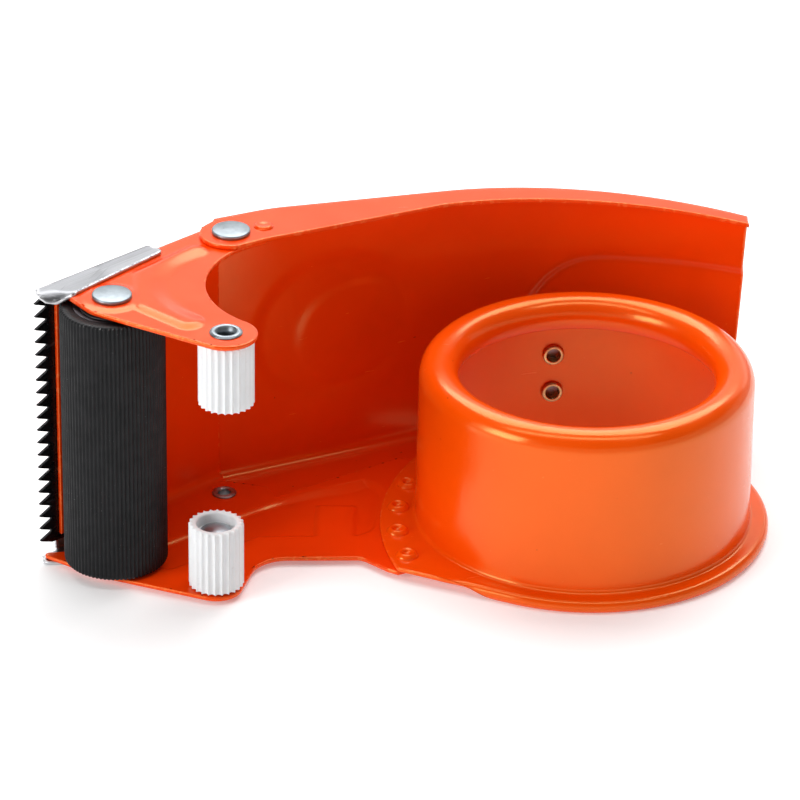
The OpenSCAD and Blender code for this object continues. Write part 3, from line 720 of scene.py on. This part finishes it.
def frame_shell():
    low, high = PLATE_Z + SHEET / 2, BRACKET_Z + SHEET / 2
    n_mid = WALL_N0 + SHEET / 2
    slit, slit_cols = WALL_U0 + 3.5, 5
    cols = spread(WALL_U0, slit_cols, slit, 61, WALL_U1)
    rows = channel_rows(low, high)
    u, s = np.meshgrid(cols, rows)
    n, z = channel(s, n_mid, low, high)
    wall = upright(u, n, z).reshape(-1, 3), \
        grid_faces(len(rows), len(cols), lambda i, j: not (j < slit_cols and 1 <= i < BEND_CUTS))

    line = [at(c, n_mid - FOOT_R) for c in cols]
    under = arc(xy(0, 0), HUB_FOOT_R + 1, -117, -212)
    back = [xy(-41.4, 25.4), JOINT + xy(10, -2.4), JOINT + xy(8, 2.3)]
    # under the tongue the plate stays inside its curled front edge
    front = [TONGUE_CORNER - LEAD * 3.5, TONGUE_CORNER - LEAD * 5.5 + INWARD * 2.6,
             TANGENT + LEAD * 3 + INWARD * 2.6]
    outline = belt([(xy(-118.4, -22.3), 0.9), (ROLLER, CORNER_R), (LOWER, LOWER_CORNER_R),
                    (NOTCH, -NOTCH_R), (xy(-50.4, -24.7), -3.1), (TONGUE_CORNER + xy(1.5, 0.9), 1.2)]
                   + [(p, 0) for p in front + under + back + line[::-1]])
    flat, faces = fill(outline, [ring(EYELET, EYELET_HOLE)], 0.6)
    plate = np.column_stack([flat, low - plate_bead(flat)]), faces

    # bracket: the roller's and upper guide's corners, the throat, the joint's lobe
    line = [at(c, n_mid - TOP_R) for c in cols]
    hit = max((crossing(THROAT, THROAT_R, LOBE, CORNER_R, k) for k in (-1, 1)), key=lambda p: p[0])
    start, stop = (math.degrees(math.atan2(*(p - LOBE)[::-1])) % 360 for p in (hit, line[-1]))
    grow = math.hypot(*(line[-1] - LOBE)) - CORNER_R
    lobe = [LOBE + ray(CORNER_R + grow * k / 12, start + ((stop - start) % 360) * k / 12)
            for k in range(12)]
    outline = belt([(ROLLER + xy(0.6, -0.5), 7.4), (UPPER, UPPER_CORNER_R), (THROAT, -THROAT_R)]
                   + [(p, 0) for p in lobe + line[::-1]])
    flat, faces = fill(outline, [ring(UPPER, EYELET_HOLE)], 0.6)
    bracket = flip((np.column_stack([flat, high + bracket_bead(flat)]), faces))
    make("frame_pressing", thicken(weld(plate, wall, bracket)), PAINT, "front_frame")


# ---- handle ----

GRIP_B = at(WALL_U1, LAP_N + SHEET)
GRIP_C = GRIP_B + 56.5 * BEND_DIR
ARC_C = GRIP_C - HANDLE_R * BEND_OUT
SLOPE_X = JOINT[0] + 8.3
GRIP_SLOPE = (GRIP_TOP - HANDLE_END_H) / (HANDLE_END - SLOPE_X)


def handle_path():
    """The wall's middle line seen from above, by length from the lap's start: points and headings."""
    turn = math.radians(WALL_TURN - HANDLE_TURN)
    start = at(WALL_U1 - 3.5, LAP_N + SHEET / 2)
    # corner of the two middle lines
    a, b = at(0, LAP_N + SHEET / 2), GRIP_B - SHEET / 2 * BEND_OUT
    t = ((b - a) @ xy(BEND_DIR[1], -BEND_DIR[0])) / (ALONG @ xy(BEND_DIR[1], -BEND_DIR[0]))
    corner = a + t * ALONG
    fillet = 2.0
    lead = fillet * math.tan(turn / 2)
    first = (corner - start) @ ALONG - lead
    second = (GRIP_C - corner) @ BEND_DIR - lead
    ds = 0.05
    s = np.arange(0, 170, ds)
    head = math.radians(WALL_TURN) - np.clip((s - first) / fillet, 0, turn) \
        - np.clip((s - first - fillet * turn - second) / (HANDLE_R - SHEET / 2), 0, 3)
    x, y = (np.concatenate([[0], np.cumsum(f(head[:-1]) + f(head[1:])) * ds / 2])
            for f in (np.cos, np.sin))
    return s, x + start[0], y + start[1], head


def top_at(x):
    """Height of the top flange's middle, level over the joint and then sloping."""
    t = np.asarray(x, float) - SLOPE_X
    ease = 3
    soft = np.where(t < -ease, 0, np.where(t > ease, t, (t + ease) ** 2 / (4 * ease)))
    return GRIP_TOP - SHEET / 2 - GRIP_SLOPE * soft


def grip_beads(s, z):
    """How far the handle's wall is pressed outwards: an oval with a round panel let into it, and
    a long bead that runs out at the free end."""
    p = np.column_stack([s, z])
    oval = capsule(p, (30.5, 34.0), 17.3, (34.5, 34.6), 17.3)
    out = step_up(-oval, -1.6, 2.2) * BEAD
    panel = capsule(p, (35.5, 31.5), 11.5, (39.5, 32.5), 11.5)
    out -= step_up(-panel, -1.4, 1.6) * BEAD * 0.55
    far = capsule(p, (98, 24.8), 17.5, (170, 23.2), 17.5)
    return out + step_up(-far, -1.8, 1.6) * 1.5


def handle_shell():
    s, x, y, head = handle_path()

    def path(v):
        return np.stack([np.interp(v, s, x), np.interp(v, s, y)], axis=-1)

    def side(v):
        h = np.interp(v, s, head)
        return np.stack([-np.sin(h), np.cos(h)], axis=-1)

    low, high = SHEET / 2, GRIP_TOP - SHEET / 2
    last, last_low = (float(np.interp(end, x, s)) for end in (HANDLE_END, HANDLE_END - HANDLE_RAKE))
    # the top flange starts a few columns after the lap, with a slanted cut
    lap = 3.2
    first = 4
    cols = spread(0, first, lap, 153, last)
    rows = channel_rows(low, high)
    v, t = np.meshgrid(cols, rows)
    n, z = channel(t, 0.0, low, high)
    # the free end leans back towards its foot
    share = np.clip(1 - z / high, 0, 1)
    v = v + (last_low - last) * share * step_up(v, last - 25, last)
    place = path(v) + n[..., None] * side(v)
    full = GRIP_TOP - SHEET - FOOT_R - TOP_R
    z = z - (high - top_at(place[..., 0])) * np.clip((z - low - FOOT_R) / full, 0, 1)
    wall = np.concatenate([place, z[..., None]], axis=-1).reshape(-1, 3)
    bead = np.zeros_like(z)
    inner = (t > math.pi / 2 * FOOT_R) & (t < t.max() - math.pi / 2 * TOP_R)
    fade = step_up(z, low + FOOT_R, low + FOOT_R + 2.5) \
        * step_up(top_at(place[..., 0]) - z, TOP_R, TOP_R + 3.5)
    bead[inner] = grip_beads(v[inner], z[inner]) * fade[inner]
    wall[:, :2] += bead.reshape(-1, 1) * side(v).reshape(-1, 2)
    count = len(rows)
    grid = wall, grid_faces(count, len(cols), lambda i, j: j >= first or i < count - BEND_CUTS)

    def flange(edge, hole, radius, line, centre, cut, stop):
        """Fills a flange between the wall's edge and its own: a corner round the hole, a line and
        an arc about the centre. cut are its holes, and stop is where it ends."""
        reach = math.sqrt(HANDLE_R ** 2 - (stop - centre[0]) ** 2)
        start = math.degrees(math.atan2(line[-1][1] - centre[1], line[-1][0] - centre[0]))
        curve = arc(centre, HANDLE_R, start, math.degrees(math.atan2(reach, stop - centre[0])))
        tail = even([curve[-1], edge[-1]], close=False)[1:-1]
        shape = belt([(hole, radius)] + [(p, 0) for p in (*line[:-1], curve[0], edge[-1], edge[0])])
        a, b = spot_of(shape, curve[0]), spot_of(shape, edge[0])
        return fill(shape[:a] + curve + tail + list(edge[::-1]) + shape[b + 1:], cut)

    inner_c = ARC_C + xy(3.74, -6.4)
    foot_c = ARC_C + xy(0, -4.2)

    def on_arc(px, c):
        return xy(px, c[1] + math.sqrt(HANDLE_R ** 2 - (px - c[0]) ** 2))

    edges = wall.reshape(count, len(cols), 3)[..., :2]
    line = [JOINT + xy(1.8, -6.7), JOINT + xy(12.7, 0.5), on_arc(GRIP_C[0] + 0.9, inner_c)]
    flat, faces = flange(edges[-1, first:], JOINT, 7, line, inner_c, (), HANDLE_END)
    top = flip((np.column_stack([flat, top_at(flat[:, 0])]), faces))
    line = [EYELET + xy(6, -4), EYELET + xy(40, 14.8), on_arc(GRIP_C[0] + 2.9, foot_c)]
    flat, faces = flange(edges[0], EYELET, 6, line, foot_c, [ring(EYELET, EYELET_HOLE)],
                         HANDLE_END - HANDLE_RAKE)
    foot = np.column_stack([flat, np.full(len(flat), low)]), faces
    nub = lathe(rounded([(0, -0.3, 0), (2.4, -0.3, 0.1), (2.2, 0.1, 0.1), (1.6, 0.55, 0.3),
                         (1.1, 0.5, 0.2), (0, 0.3, 0)]), JOINT + xy(7, 3.4), 40, closed=False)
    nub[0][:, 2] += GRIP_TOP
    make("handle_pressing", merge(thicken(weld(foot, grid, top)), nub), PAINT, "handle")


# ---- drum ----

def hub_shell():
    mid = SHEET / 2
    rim_c = xy(HUB_R - RIM_R, HUB_H - RIM_R)
    top_r, foot_r = HUB_R - mid, HUB_FOOT_R - mid
    flange_mid = PLATE_TOP + mid
    foot_bend = 1.4
    profile = [xy(foot_r, flange_mid) + foot_bend * xy(1 - math.sin(a), 1 - math.cos(a))
               for a in np.linspace(0, math.pi / 2, BEND_CUTS)]
    wall_rows = 32
    profile += list(np.linspace(profile[-1], xy(top_r, rim_c[1]), wall_rows + 1)[1:])
    profile += [rim_c + ray(RIM_R - mid, a) for a in np.linspace(0, RIM_TURN, 24)[1:]]
    turns = 288
    angle = np.arange(turns) * 360 / turns
    radius, rise = np.array(profile).T
    # eyelets' holes, opened in the flattened wall
    hole_r = 1.85
    arc_s, height = np.meshgrid(np.radians(angle - CLIP_TURN) * foot_r, rise)
    row = np.arange(len(profile))[:, None]
    in_wall = (row > BEND_CUTS) & (row < BEND_CUTS - 2 + wall_rows)
    for z in CLIP_Z:
        d = np.hypot(arc_s, height - z)
        k = np.where((d < hole_r) & in_wall, hole_r / np.maximum(d, 0.05), 1)
        arc_s, height = arc_s * k, z + (height - z) * k
    theta = np.radians(CLIP_TURN) + arc_s / foot_r
    radius = radius[:, None]
    points = np.stack([radius * np.cos(theta), radius * np.sin(theta), height], axis=-1)

    def solid(i, j):
        k = (j + 1) % turns
        if abs(arc_s[i, k] - arc_s[i, j]) > 3:
            return True
        corners = np.ix_([i, i + 1], [j, k])
        s, z = arc_s[corners].mean(), height[corners].mean()
        return all(math.hypot(s, z - c) > hole_r - 0.05 for c in CLIP_Z)

    shell = points.reshape(-1, 3), grid_faces(len(profile), turns, solid, closed=True)

    # curled edge, which flattens along the tongue's front edge and behind the drum
    curl_rows = 10

    def curl(f):
        """Section of the edge, from flat at f = 0 to rolled under by half a turn at f = 1."""
        w = f * math.pi
        if f < 0.004:
            length, k = CURL_R, 1e-6
        elif f < 0.5:
            length = (CURL_R - 0.5 * math.sin(w)) * w / math.sin(w)
            k = w / length
        else:
            length, k = w, 1.0
        t = np.linspace(0, length, curl_rows)
        return FLANGE_R - CURL_R + np.sin(k * t) / k, flange_mid - (1 - np.cos(k * t)) / k

    run, back_fade = 17, 15
    starts = [(TANGENT_TURN, t, step_up(run - t, 0, run)) for t in np.linspace(run, 0, 24)[:-1]]
    starts += [(a, 0, step_up(CURL_BACK - a, 0, back_fade))
               for a in np.linspace(TANGENT_TURN, CURL_BACK, 250)]
    lines = np.array([[(*(ray(r, a) + LEAD * t), z) for r, z in zip(*curl(f))] for a, t, f in starts])
    lines = lines.transpose(1, 0, 2)[::-1]
    edge_curl = lines.reshape(-1, 3), grid_faces(curl_rows, len(starts))
    curl_in, start_side, end_side = (list(p[:, :2]) for p in (lines[-1], lines[:, 0], lines[::-1, -1]))
    # the tongue's front corner, moved along its front edge until it meets the round edge
    corner_r = 1.6
    near, far = 0, 40
    for _ in range(50):
        t = (near + far) / 2
        c = TANGENT + LEAD * t + INWARD * corner_r
        near, far = (t, far) if math.hypot(*(c - TONGUE_C)) < TONGUE_R - corner_r else (near, t)
    begin = TANGENT + LEAD * run
    tongue = belt([(end_side[-1], 0), (xy(-36.2, 23.1), 1.6), (TONGUE_C, TONGUE_R), (c, corner_r),
                   (begin, 0), (xy(0, 0), 0)])
    a, b = spot_of(tongue, end_side[-1]), spot_of(tongue, begin)
    outline = curl_in + end_side[1:-1] + tongue[a:b] + start_side[:-1]
    flat, faces = fill(outline, [points[0, :, :2]])
    flange = np.column_stack([flat, np.full(len(flat), flange_mid)]), faces
    make("drum_pressing", thicken(weld(shell, edge_curl, flange), r=0.3), LIT_DRUM_PAINT, "hub")


def hub_rivets():
    """Rolled rivets in the tongue, each a ring round a dimple, with its tail under the plate."""
    ring_r = TONGUE_R - 3.8
    pace = 2 * math.degrees(math.asin(11 / 2 / ring_r))
    top = PLATE_TOP + SHEET
    tops, tails = [], []
    for i in range(4):
        place = TONGUE_C - ray(ring_r, (i - 1.5) * pace)
        head = rounded([(0, top - 0.9, 0), (2.5, top - 0.9, 0), (2.55, top + 0.2, 0.35),
                        (1.75, top + 1.1, 0.7), (1.05, top + 0.85, 0.3), (0.75, top + 0.25, 0.3),
                        (0, top + 0.2, 0)], cuts=4)
        tops.append(lathe(head, place, 48, closed=False))
        foot = rounded([(0, 0.15, 0), (2.1, 0.15, 0.4), (2.2, 0.9, 0.2), (2.2, 1.3, 0), (0, 1.3, 0)],
                       cuts=4)
        tails.append(lathe(foot, place, 40, closed=False))
    make("tongue_rivets", merge(*tops, *tails), LIT_DRUM_PAINT, "hub_rivets")


def eyelet_place(z):
    """Matrix of an eyelet: its axis out of the drum's wall at its foot radius."""
    turn = Matrix.Rotation(math.radians(CLIP_TURN), 4, "Z")
    return turn @ Matrix.Translation((HUB_FOOT_R, 0, z)) @ Matrix.Rotation(math.radians(90), 4, "Y")


def hub_eyelets():
    inner = SHEET + 0.45
    section = rounded([(1.6, -inner - 0.7, 0.35), (2.25, -inner - 0.7, 0.3), (2.55, -inner - 0.35, 0.2),
                       (2.5, -inner + 0.1, 0.1), (2.0, -inner + 0.1, 0.1), (2.0, 0.85, 0.05),
                       (2.5, 0.85, 0.1), (2.55, 1.1, 0.2), (2.2, 1.3, 0.2), (1.6, 1.3, 0.3)], cuts=4)
    whole = merge(*[turned(lathe(section, turns=56), eyelet_place(z)) for z in CLIP_Z])
    make("drum_eyelets", whole[:2], BRASS, "hub_eyelets")


def strip(centre, radius, start, stop, low, tall):
    """Middle surface of an upright curved strip, seen from outside."""
    n = max(6, math.ceil(math.radians(stop - start) * radius / 0.7))
    m = math.ceil(tall / 0.8)
    points = [(*(centre + ray(radius, start + (stop - start) * i / n)), low + tall * j / m)
              for j in range(m + 1) for i in range(n + 1)]
    return np.array(points), grid_faces(m + 1, n + 1)


def springs():
    r0, t, rim = HUB_FOOT_R + 0.3, 0.5, 0.2
    low, tall = 10.6, 17.0
    foot = strip(xy(0, 0), r0 + t / 2, CLIP_TURN - 7, CLIP_TURN + 7, low, tall)
    make("spring_clip_foot", thicken(foot, t, rim)[:2], SPRING, "spring_foot")
    # the leaf is flatter than the drum by the factor wide, and stands off it more from its hinge on
    hinge, wide, leaf_arc = 92.8, 1.55, 42
    lift = 2.9 / leaf_arc
    centre = (1 - wide) * r0 * ray(1, hinge + lift)
    leaf = strip(centre, r0 * wide + t / 2, hinge - leaf_arc / wide, hinge - 0.02, low, tall)
    make("spring_clip_leaf", thicken(leaf, t, rim)[:2], SPRING, "spring_leaf", "spring")


# ---- fasteners of frame and handle ----

def dome(d, h, z, rise=0.35):
    """Section of a nearly flat rivet head that stands on z, with a bright bevel round it."""
    r = d / 2
    inner = r - 0.3
    ball = (inner * inner + rise * rise) / (2 * rise)
    cap = [(ball * math.sin(a), z + h - ball + ball * math.cos(a))
           for a in np.linspace(math.asin(inner / ball), 0, 9)]
    return [(r - 0.12, z), (r, z + 0.14), (r, z + h - rise - 0.2), (r - 0.1, z + h - rise - 0.07)] \
        + cap[:-1] + [(0, z + h)]


def stack(centre, *parts):
    """Solids turned about one centre, each (section, turns)."""
    return merge(*[lathe(section, centre, turns, False) for section, turns in parts])[:2]


def washers(name, node, sizes, rim, turns, places):
    """Thin rings at places (centre, z). Sizes are their inner and outer radius and thickness."""
    inner, outer, t = sizes
    rings = [lathe(rounded([(inner, z), (outer, z), (outer, z + t), (inner, z + t)], rim), c, turns)
             for c, z in places]
    make(name, merge(*rings)[:2], ZINC, node)


def tail(r):
    """Section of a rivet's flat tail under the plate."""
    return rounded([(0, 0.3, 0), (1.1, 0.15, 0.2), (r - 0.4, 0.15, 0.45), (r, PLATE_Z, 0.1),
                    (2, PLATE_Z, 0), (2, PLATE_Z + 0.5, 0), (0, PLATE_Z + 0.5, 0)], cuts=4)


def top_rivet():
    head = [(0, GRIP_TOP - 0.3)] + dome(8.5, 1.25, GRIP_TOP)
    foot = rounded([(0, BRACKET_Z - 0.8, 0), (3.0, BRACKET_Z - 0.8, 0.5), (3.2, BRACKET_Z, 0.1),
                    (2, BRACKET_Z, 0), (2, BRACKET_Z + 0.5, 0), (0, BRACKET_Z + 0.5, 0)], cuts=4)
    make("handle_rivet", stack(JOINT, (head, 64), (foot, 48)), ZINC, "top_rivet")


def bottom_eyelet():
    r = 2.0
    section = rounded([(r - 0.6, 0.2, 0.1), (r + 0.75, 0.1, 0.1), (r - 0.05, 0.95, 0.1),
                       (r - 0.05, PLATE_TOP, 0.05), (r + 0.75, PLATE_TOP - 0.02, 0.1),
                       (r + 0.8, PLATE_TOP + 0.3, 0.25), (r + 0.1, PLATE_TOP + 0.65, 0.4),
                       (r - 0.6, PLATE_TOP + 0.25, 0.3)], cuts=5)
    make("handle_eyelet", lathe(section, EYELET, 56), DARK, "bottom_eyelet")


# ---- large roller ----

def wheel(section, centre, turns, shape):
    """A lathe whose radius varies round it: shape(turn, r) gives the radius."""
    points, faces = lathe(section, turns=turns)
    x, y, _ = points.T
    r = np.hypot(x, y)
    points[:, :2] *= (shape(np.arctan2(y, x), r) / r)[:, None]
    points[:, :2] += centre
    return points, faces


def roller():
    low, high = ROLLER_LOW[2], ROLLER_HIGH[2]
    core_r = ROLLER_R - 2.9
    bush_r = core_r - 1.5
    ribs = 76
    section = [(core_r, low), (ROLLER_R - 0.55, low), (ROLLER_R - 0.2, low + 0.12)]
    section += [(ROLLER_R, z) for z in np.linspace(low + 0.5, high - 0.5, 26)]
    section += [(ROLLER_R - 0.2, high - 0.12), (ROLLER_R - 0.55, high), (core_r, high)]

    def ribbed(a, r):
        wave = 0.5 + 0.5 * np.cos(a * ribs)
        depth = 0.34 * step_up(r, core_r + 0.8, ROLLER_R - 0.3)
        return r - depth * (1 - wave) ** 1.6

    points, faces = wheel(section, ROLLER, ribs * 6, ribbed)
    near = np.exp(-np.minimum(abs(points[:, 2] - low), abs(high - points[:, 2])) / 0.6)
    r = np.hypot(*(points[:, :2] - ROLLER).T)
    worn = near * step_up(r, ROLLER_R - 0.6, ROLLER_R - 0.1)
    make("roller_rubber", (points, faces, worn), RUBBER, "roller_sleeve", "roller")
    gap = 0.02
    whole = lathe(rounded([(bush_r, low + 0.1), (core_r - gap, low + 0.1), (core_r - gap, high - 0.1),
                           (bush_r, high - 0.1)], 0.25), ROLLER, 72)
    make("roller_tube", whole, TUBE, "roller_core", "roller")
    tall = 8
    for end, z in (("bottom", low), ("top", high - tall)):
        face = [(2.55, 0, 0.3), (4.2, 0, 0.2), (4.4, 0.35, 0.2), (6.1, 0.35, 0.2), (6.3, 0, 0.2),
                (bush_r - gap, 0, 0.3)]
        section = [(x, z + up, c) for x, up, c in face] \
            + [(x, z + tall - up, c) for x, up, c in face[::-1]]
        make("roller_plug_" + end, lathe(rounded(section), ROLLER, 72), BUSH,
             "roller_bush_" + end, "roller")


def roller_axle():
    head = [(0, BRACKET_TOP - 0.4)] + dome(8.6, 1.25, BRACKET_TOP + BOSS)
    pin = [(0, PLATE_Z + 0.2), (2.5, PLATE_Z + 0.2), (2.5, BRACKET_TOP - 0.2), (0, BRACKET_TOP - 0.2)]
    whole = stack(ROLLER, (head, 72), (pin, 48), (tail(3.7), 56))
    make("roller_pin", whole, ZINC, "roller_axle")
    washers("roller_thrust_washers", "roller_washers", (2.6, 5, 0.5), 0.12, 56,
            [(ROLLER, PLATE_TOP), (ROLLER, BRACKET_Z - 0.5)])


# ---- guide rollers ----

def guide(name, node, body, centre, low, up):
    """A fluted plastic roller, its pocket upwards if up."""
    r1, hole, pocket, deep, tall, teeth = 6.05, 2.45, 4.3, 2.6, 15.2, 24
    section = [(hole, 0, 0.15), (r1 - 0.2, 0, 0.1), (r1, 0.15, 0.1)]
    section += [(r1, z, 0) for z in np.linspace(1.2, tall - 1.2, 10)]
    section += [(r1, tall - 0.2, 0.1), (r1 - 0.25, tall, 0.1), (pocket + 0.25, tall, 0.12),
                (pocket, tall - 0.3, 0.12), (pocket, tall - deep + 0.2, 0.25),
                (pocket - 0.3, tall - deep, 0.2), (hole, tall - deep, 0.1)]
    section = rounded(section)

    def fluted(a, r):
        cut = 0.65 * np.abs(np.sin(a * teeth / 2)) ** 0.75 * step_up(r, pocket + 0.45, r1 - 0.3)
        return r - cut

    points, faces = wheel(section, xy(0, 0), teeth * 10, fluted)
    if not up:
        points[:, 2] = tall - points[:, 2]
        faces = [f[::-1] for f in faces]
    points += np.array([*centre, low])
    make(name, (points, faces), WHITE, node, body)


def guides():
    low = box("lower_guide_roller")[0][2]
    guide("lower_guide_wheel", "lower_guide_roller", "lower_guide", LOWER, low, True)
    upper_low, upper_high = (corner[2] for corner in box("upper_guide_roller"))
    guide("upper_guide_wheel", "upper_guide_roller", "upper_guide", UPPER, upper_low, False)

    # lower stud: solid, with a domed head in the pocket
    stud = 12.7
    high = low + stud
    head = [(0, high - 0.2)] + dome(7, 1.3, high, 0.7)
    pin = [(0, PLATE_Z + 0.3), (2.4, PLATE_Z + 0.3), (2.4, high), (0, high)]
    whole = stack(LOWER, (head, 56), (pin, 48), (tail(3.5), 56))
    make("lower_guide_pin", whole, ZINC, "lower_guide_stud")

    # upper stud: hollow, rolled over on the bracket
    r, wall = 2.4, 0.7
    base = upper_high - stud
    section = rounded([(r - wall, base - 0.9, 0.15), (3.2, base - 0.9, 0.2), (3.5, base - 0.6, 0.2),
                       (3.5, base, 0.1), (r, base, 0.05), (r, BRACKET_TOP - 0.05, 0.02),
                       (3.5, BRACKET_TOP - 0.02, 0.08), (3.55, BRACKET_TOP + 0.2, 0.2),
                       (3.0, BRACKET_TOP + 0.62, 0.35), (r, BRACKET_TOP + 0.55, 0.3),
                       (r - wall, BRACKET_TOP - 0.4, 0.5)], cuts=5)
    make("upper_guide_pin", lathe(section, UPPER, 64), ZINC, "upper_guide_stud")
    washers("guide_thrust_washers", "guide_washers", (2.5, 3.8, 0.4), 0.1, 48,
            [(LOWER, PLATE_TOP), (UPPER, BRACKET_Z - 0.4)])


# ---- blade and guard ----

def guard():
    """Bent stainless guard: two flanges and a back, each end of the upper flange softly rounded."""
    t, gap, r = 0.8, 0.6, 1.0
    n_mid = WALL_N1 + gap + t / 2
    low, high = 0.15 + t / 2, BRACKET_TOP + t / 2
    n_in = n_mid - r
    u0, u1 = TIP_U - 0.3, TIP_U - 0.3 + 35
    cols = spread(u0 + 1.0, 5, WALL_U0 - 0.4, 33, u1 - 1.6)
    rows = channel_rows(low, high, r, r)
    u, s = np.meshgrid(cols, rows)
    n, z = channel(s, n_mid, low, high, r, r)
    count = len(rows)
    back = upright(u, n, z).reshape(-1, 3), \
        grid_faces(count, len(cols), lambda i, j: j >= 5 or i < 2 or i >= count - 3)
    line = [at(c, n_in) for c in cols]
    outer = WALL_N1 + gap + t
    shape = belt([(at(u0 + 5.2, outer - 8 + 2.2), 2.2), (at(u1 - 2.6, outer - 5.5 + 1.6), 1.6),
                  (at(u1 - 1.6, n_in - 1.4), 0), (line[-1], 0), (line[0], 0),
                  (at(u0 + 1.1, outer - 3.0), 1.3)])
    a, b = spot_of(shape, line[-1]), spot_of(shape, line[0])
    outline = shape[:a] + line[::-1] + shape[b + 1:]
    flat, faces = fill(outline, pitch=0.45)
    # the near end is rolled down
    a, b = at(u0 + 0.9, outer - 3.0), at(u0 + 5.2, outer - 5.8)
    lead = (b - a) / math.hypot(*(b - a))
    # how far inside the near end, and how far along it from the back
    off = (flat - a) @ xy(-lead[1], lead[0]) * np.sign(lead @ -OUT) + 1.3
    along = np.clip((flat - a) @ lead / math.hypot(*(b - a)), 0, 1)
    roll = 1.3 + 0.9 * (1 - (2 * along - 0.7) ** 2)
    d = np.clip(1 - off / roll, 0, 1)
    drop = roll * (1 - np.sqrt(1 - 0.96 * d ** 2))
    fade = step_up(outer - 0.8 - flat @ OUT, 0.0, 1.2)
    upper = flip((np.column_stack([flat, high - drop * fade]), faces))
    lower = np.column_stack([flat, np.full(len(flat), low)]), faces
    cover = thicken(weld(lower, back, upper), t, 0.3)
    make("blade_guard_cover", cover, GUARD, "blade_guard")


def finish_cad():
    """Materials of the CAD nodes that keep their own shape."""
    for name, material in (("blade", BLADE), ("blade_screws", ZINC)):
        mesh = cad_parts[name].data
        for k in range(len(mesh.materials)):
            mesh.materials[k] = material
        if not mesh.materials:
            mesh.materials.append(material)


# ---- stage ----

def floor():
    m = Nodes("pale_floor", specular_ior_level=0.1)
    m.colour(m.mix(m.noise(60, 3), rgb(0.90, 0.90, 0.90), rgb(0.93, 0.93, 0.93)))
    m.rough(m.ramp(m.noise(5, 3), 0.3, 0.7, 0.75, 0.9))
    m.set(emission_color=rgb(1, 1, 1), emission_strength=0.2)
    corner = [xy(2600, 400) + ray(400, a) for a in np.linspace(-90, 0, 9)]
    points, faces = lathe([(0, 0)] + corner + [(3000, 1100)], turns=64, closed=False)
    obj, _ = link("floor", points, [f[::-1] for f in faces], m.material)


def light(name, place, aim, size, power):
    data = bpy.data.lights.new(name, "AREA")
    data.shape, data.size, data.size_y = "RECTANGLE", size[0], size[1]
    data.energy = power
    obj = bpy.data.objects.new(name, data)
    obj.location = place
    obj.rotation_euler = (Vector(aim) - Vector(place)).to_track_quat("-Z", "Y").to_euler()
    bpy.context.scene.collection.objects.link(obj)


def lights():
    world = bpy.data.worlds.new("studio")
    bpy.context.scene.world = world
    world.use_nodes = True
    background = world.node_tree.nodes["Background"].inputs
    background["Color"].default_value = rgb(1, 1, 1)
    background["Strength"].default_value = 0.08
    light("backdrop", (-0.05, 1.2, 0.66), (-0.04, 0, 0.05), (2.4, 0.75), 4.5)
    light("top", (0.0, 0.55, 0.95), (-0.04, 0, 0.03), (1.2, 0.8), 14)
    light("front_top", (-0.05, -0.22, 1.05), (-0.04, 0, 0.03), (1.3, 0.2), 3)
    light("key", (-0.95, -0.6, 0.45), (-0.03, 0, 0.03), (0.5, 0.5), 6.5)


def camera():
    """A long lens, looking down, with a slight roll."""
    data = bpy.data.cameras.new("camera")
    data.lens, data.sensor_width, data.clip_end = 202.07, 36, 10
    obj = bpy.data.objects.new("camera", data)
    obj.matrix_world = Matrix.Translation((-0.04141, -0.88513, 0.49544)) \
        @ Matrix.Rotation(math.radians(90 - 27.73), 4, "X") @ Matrix.Rotation(math.radians(0.93), 4, "Z")
    bpy.context.scene.collection.objects.link(obj)
    bpy.context.scene.camera = obj


camera()
lights()
floor()
frame_shell()
handle_shell()
hub_shell()
hub_rivets()
hub_eyelets()
springs()
top_rivet()
bottom_eyelet()
roller()
roller_axle()
guides()
guard()
finish_cad()
bpy.context.scene.view_settings.view_transform = "Standard"
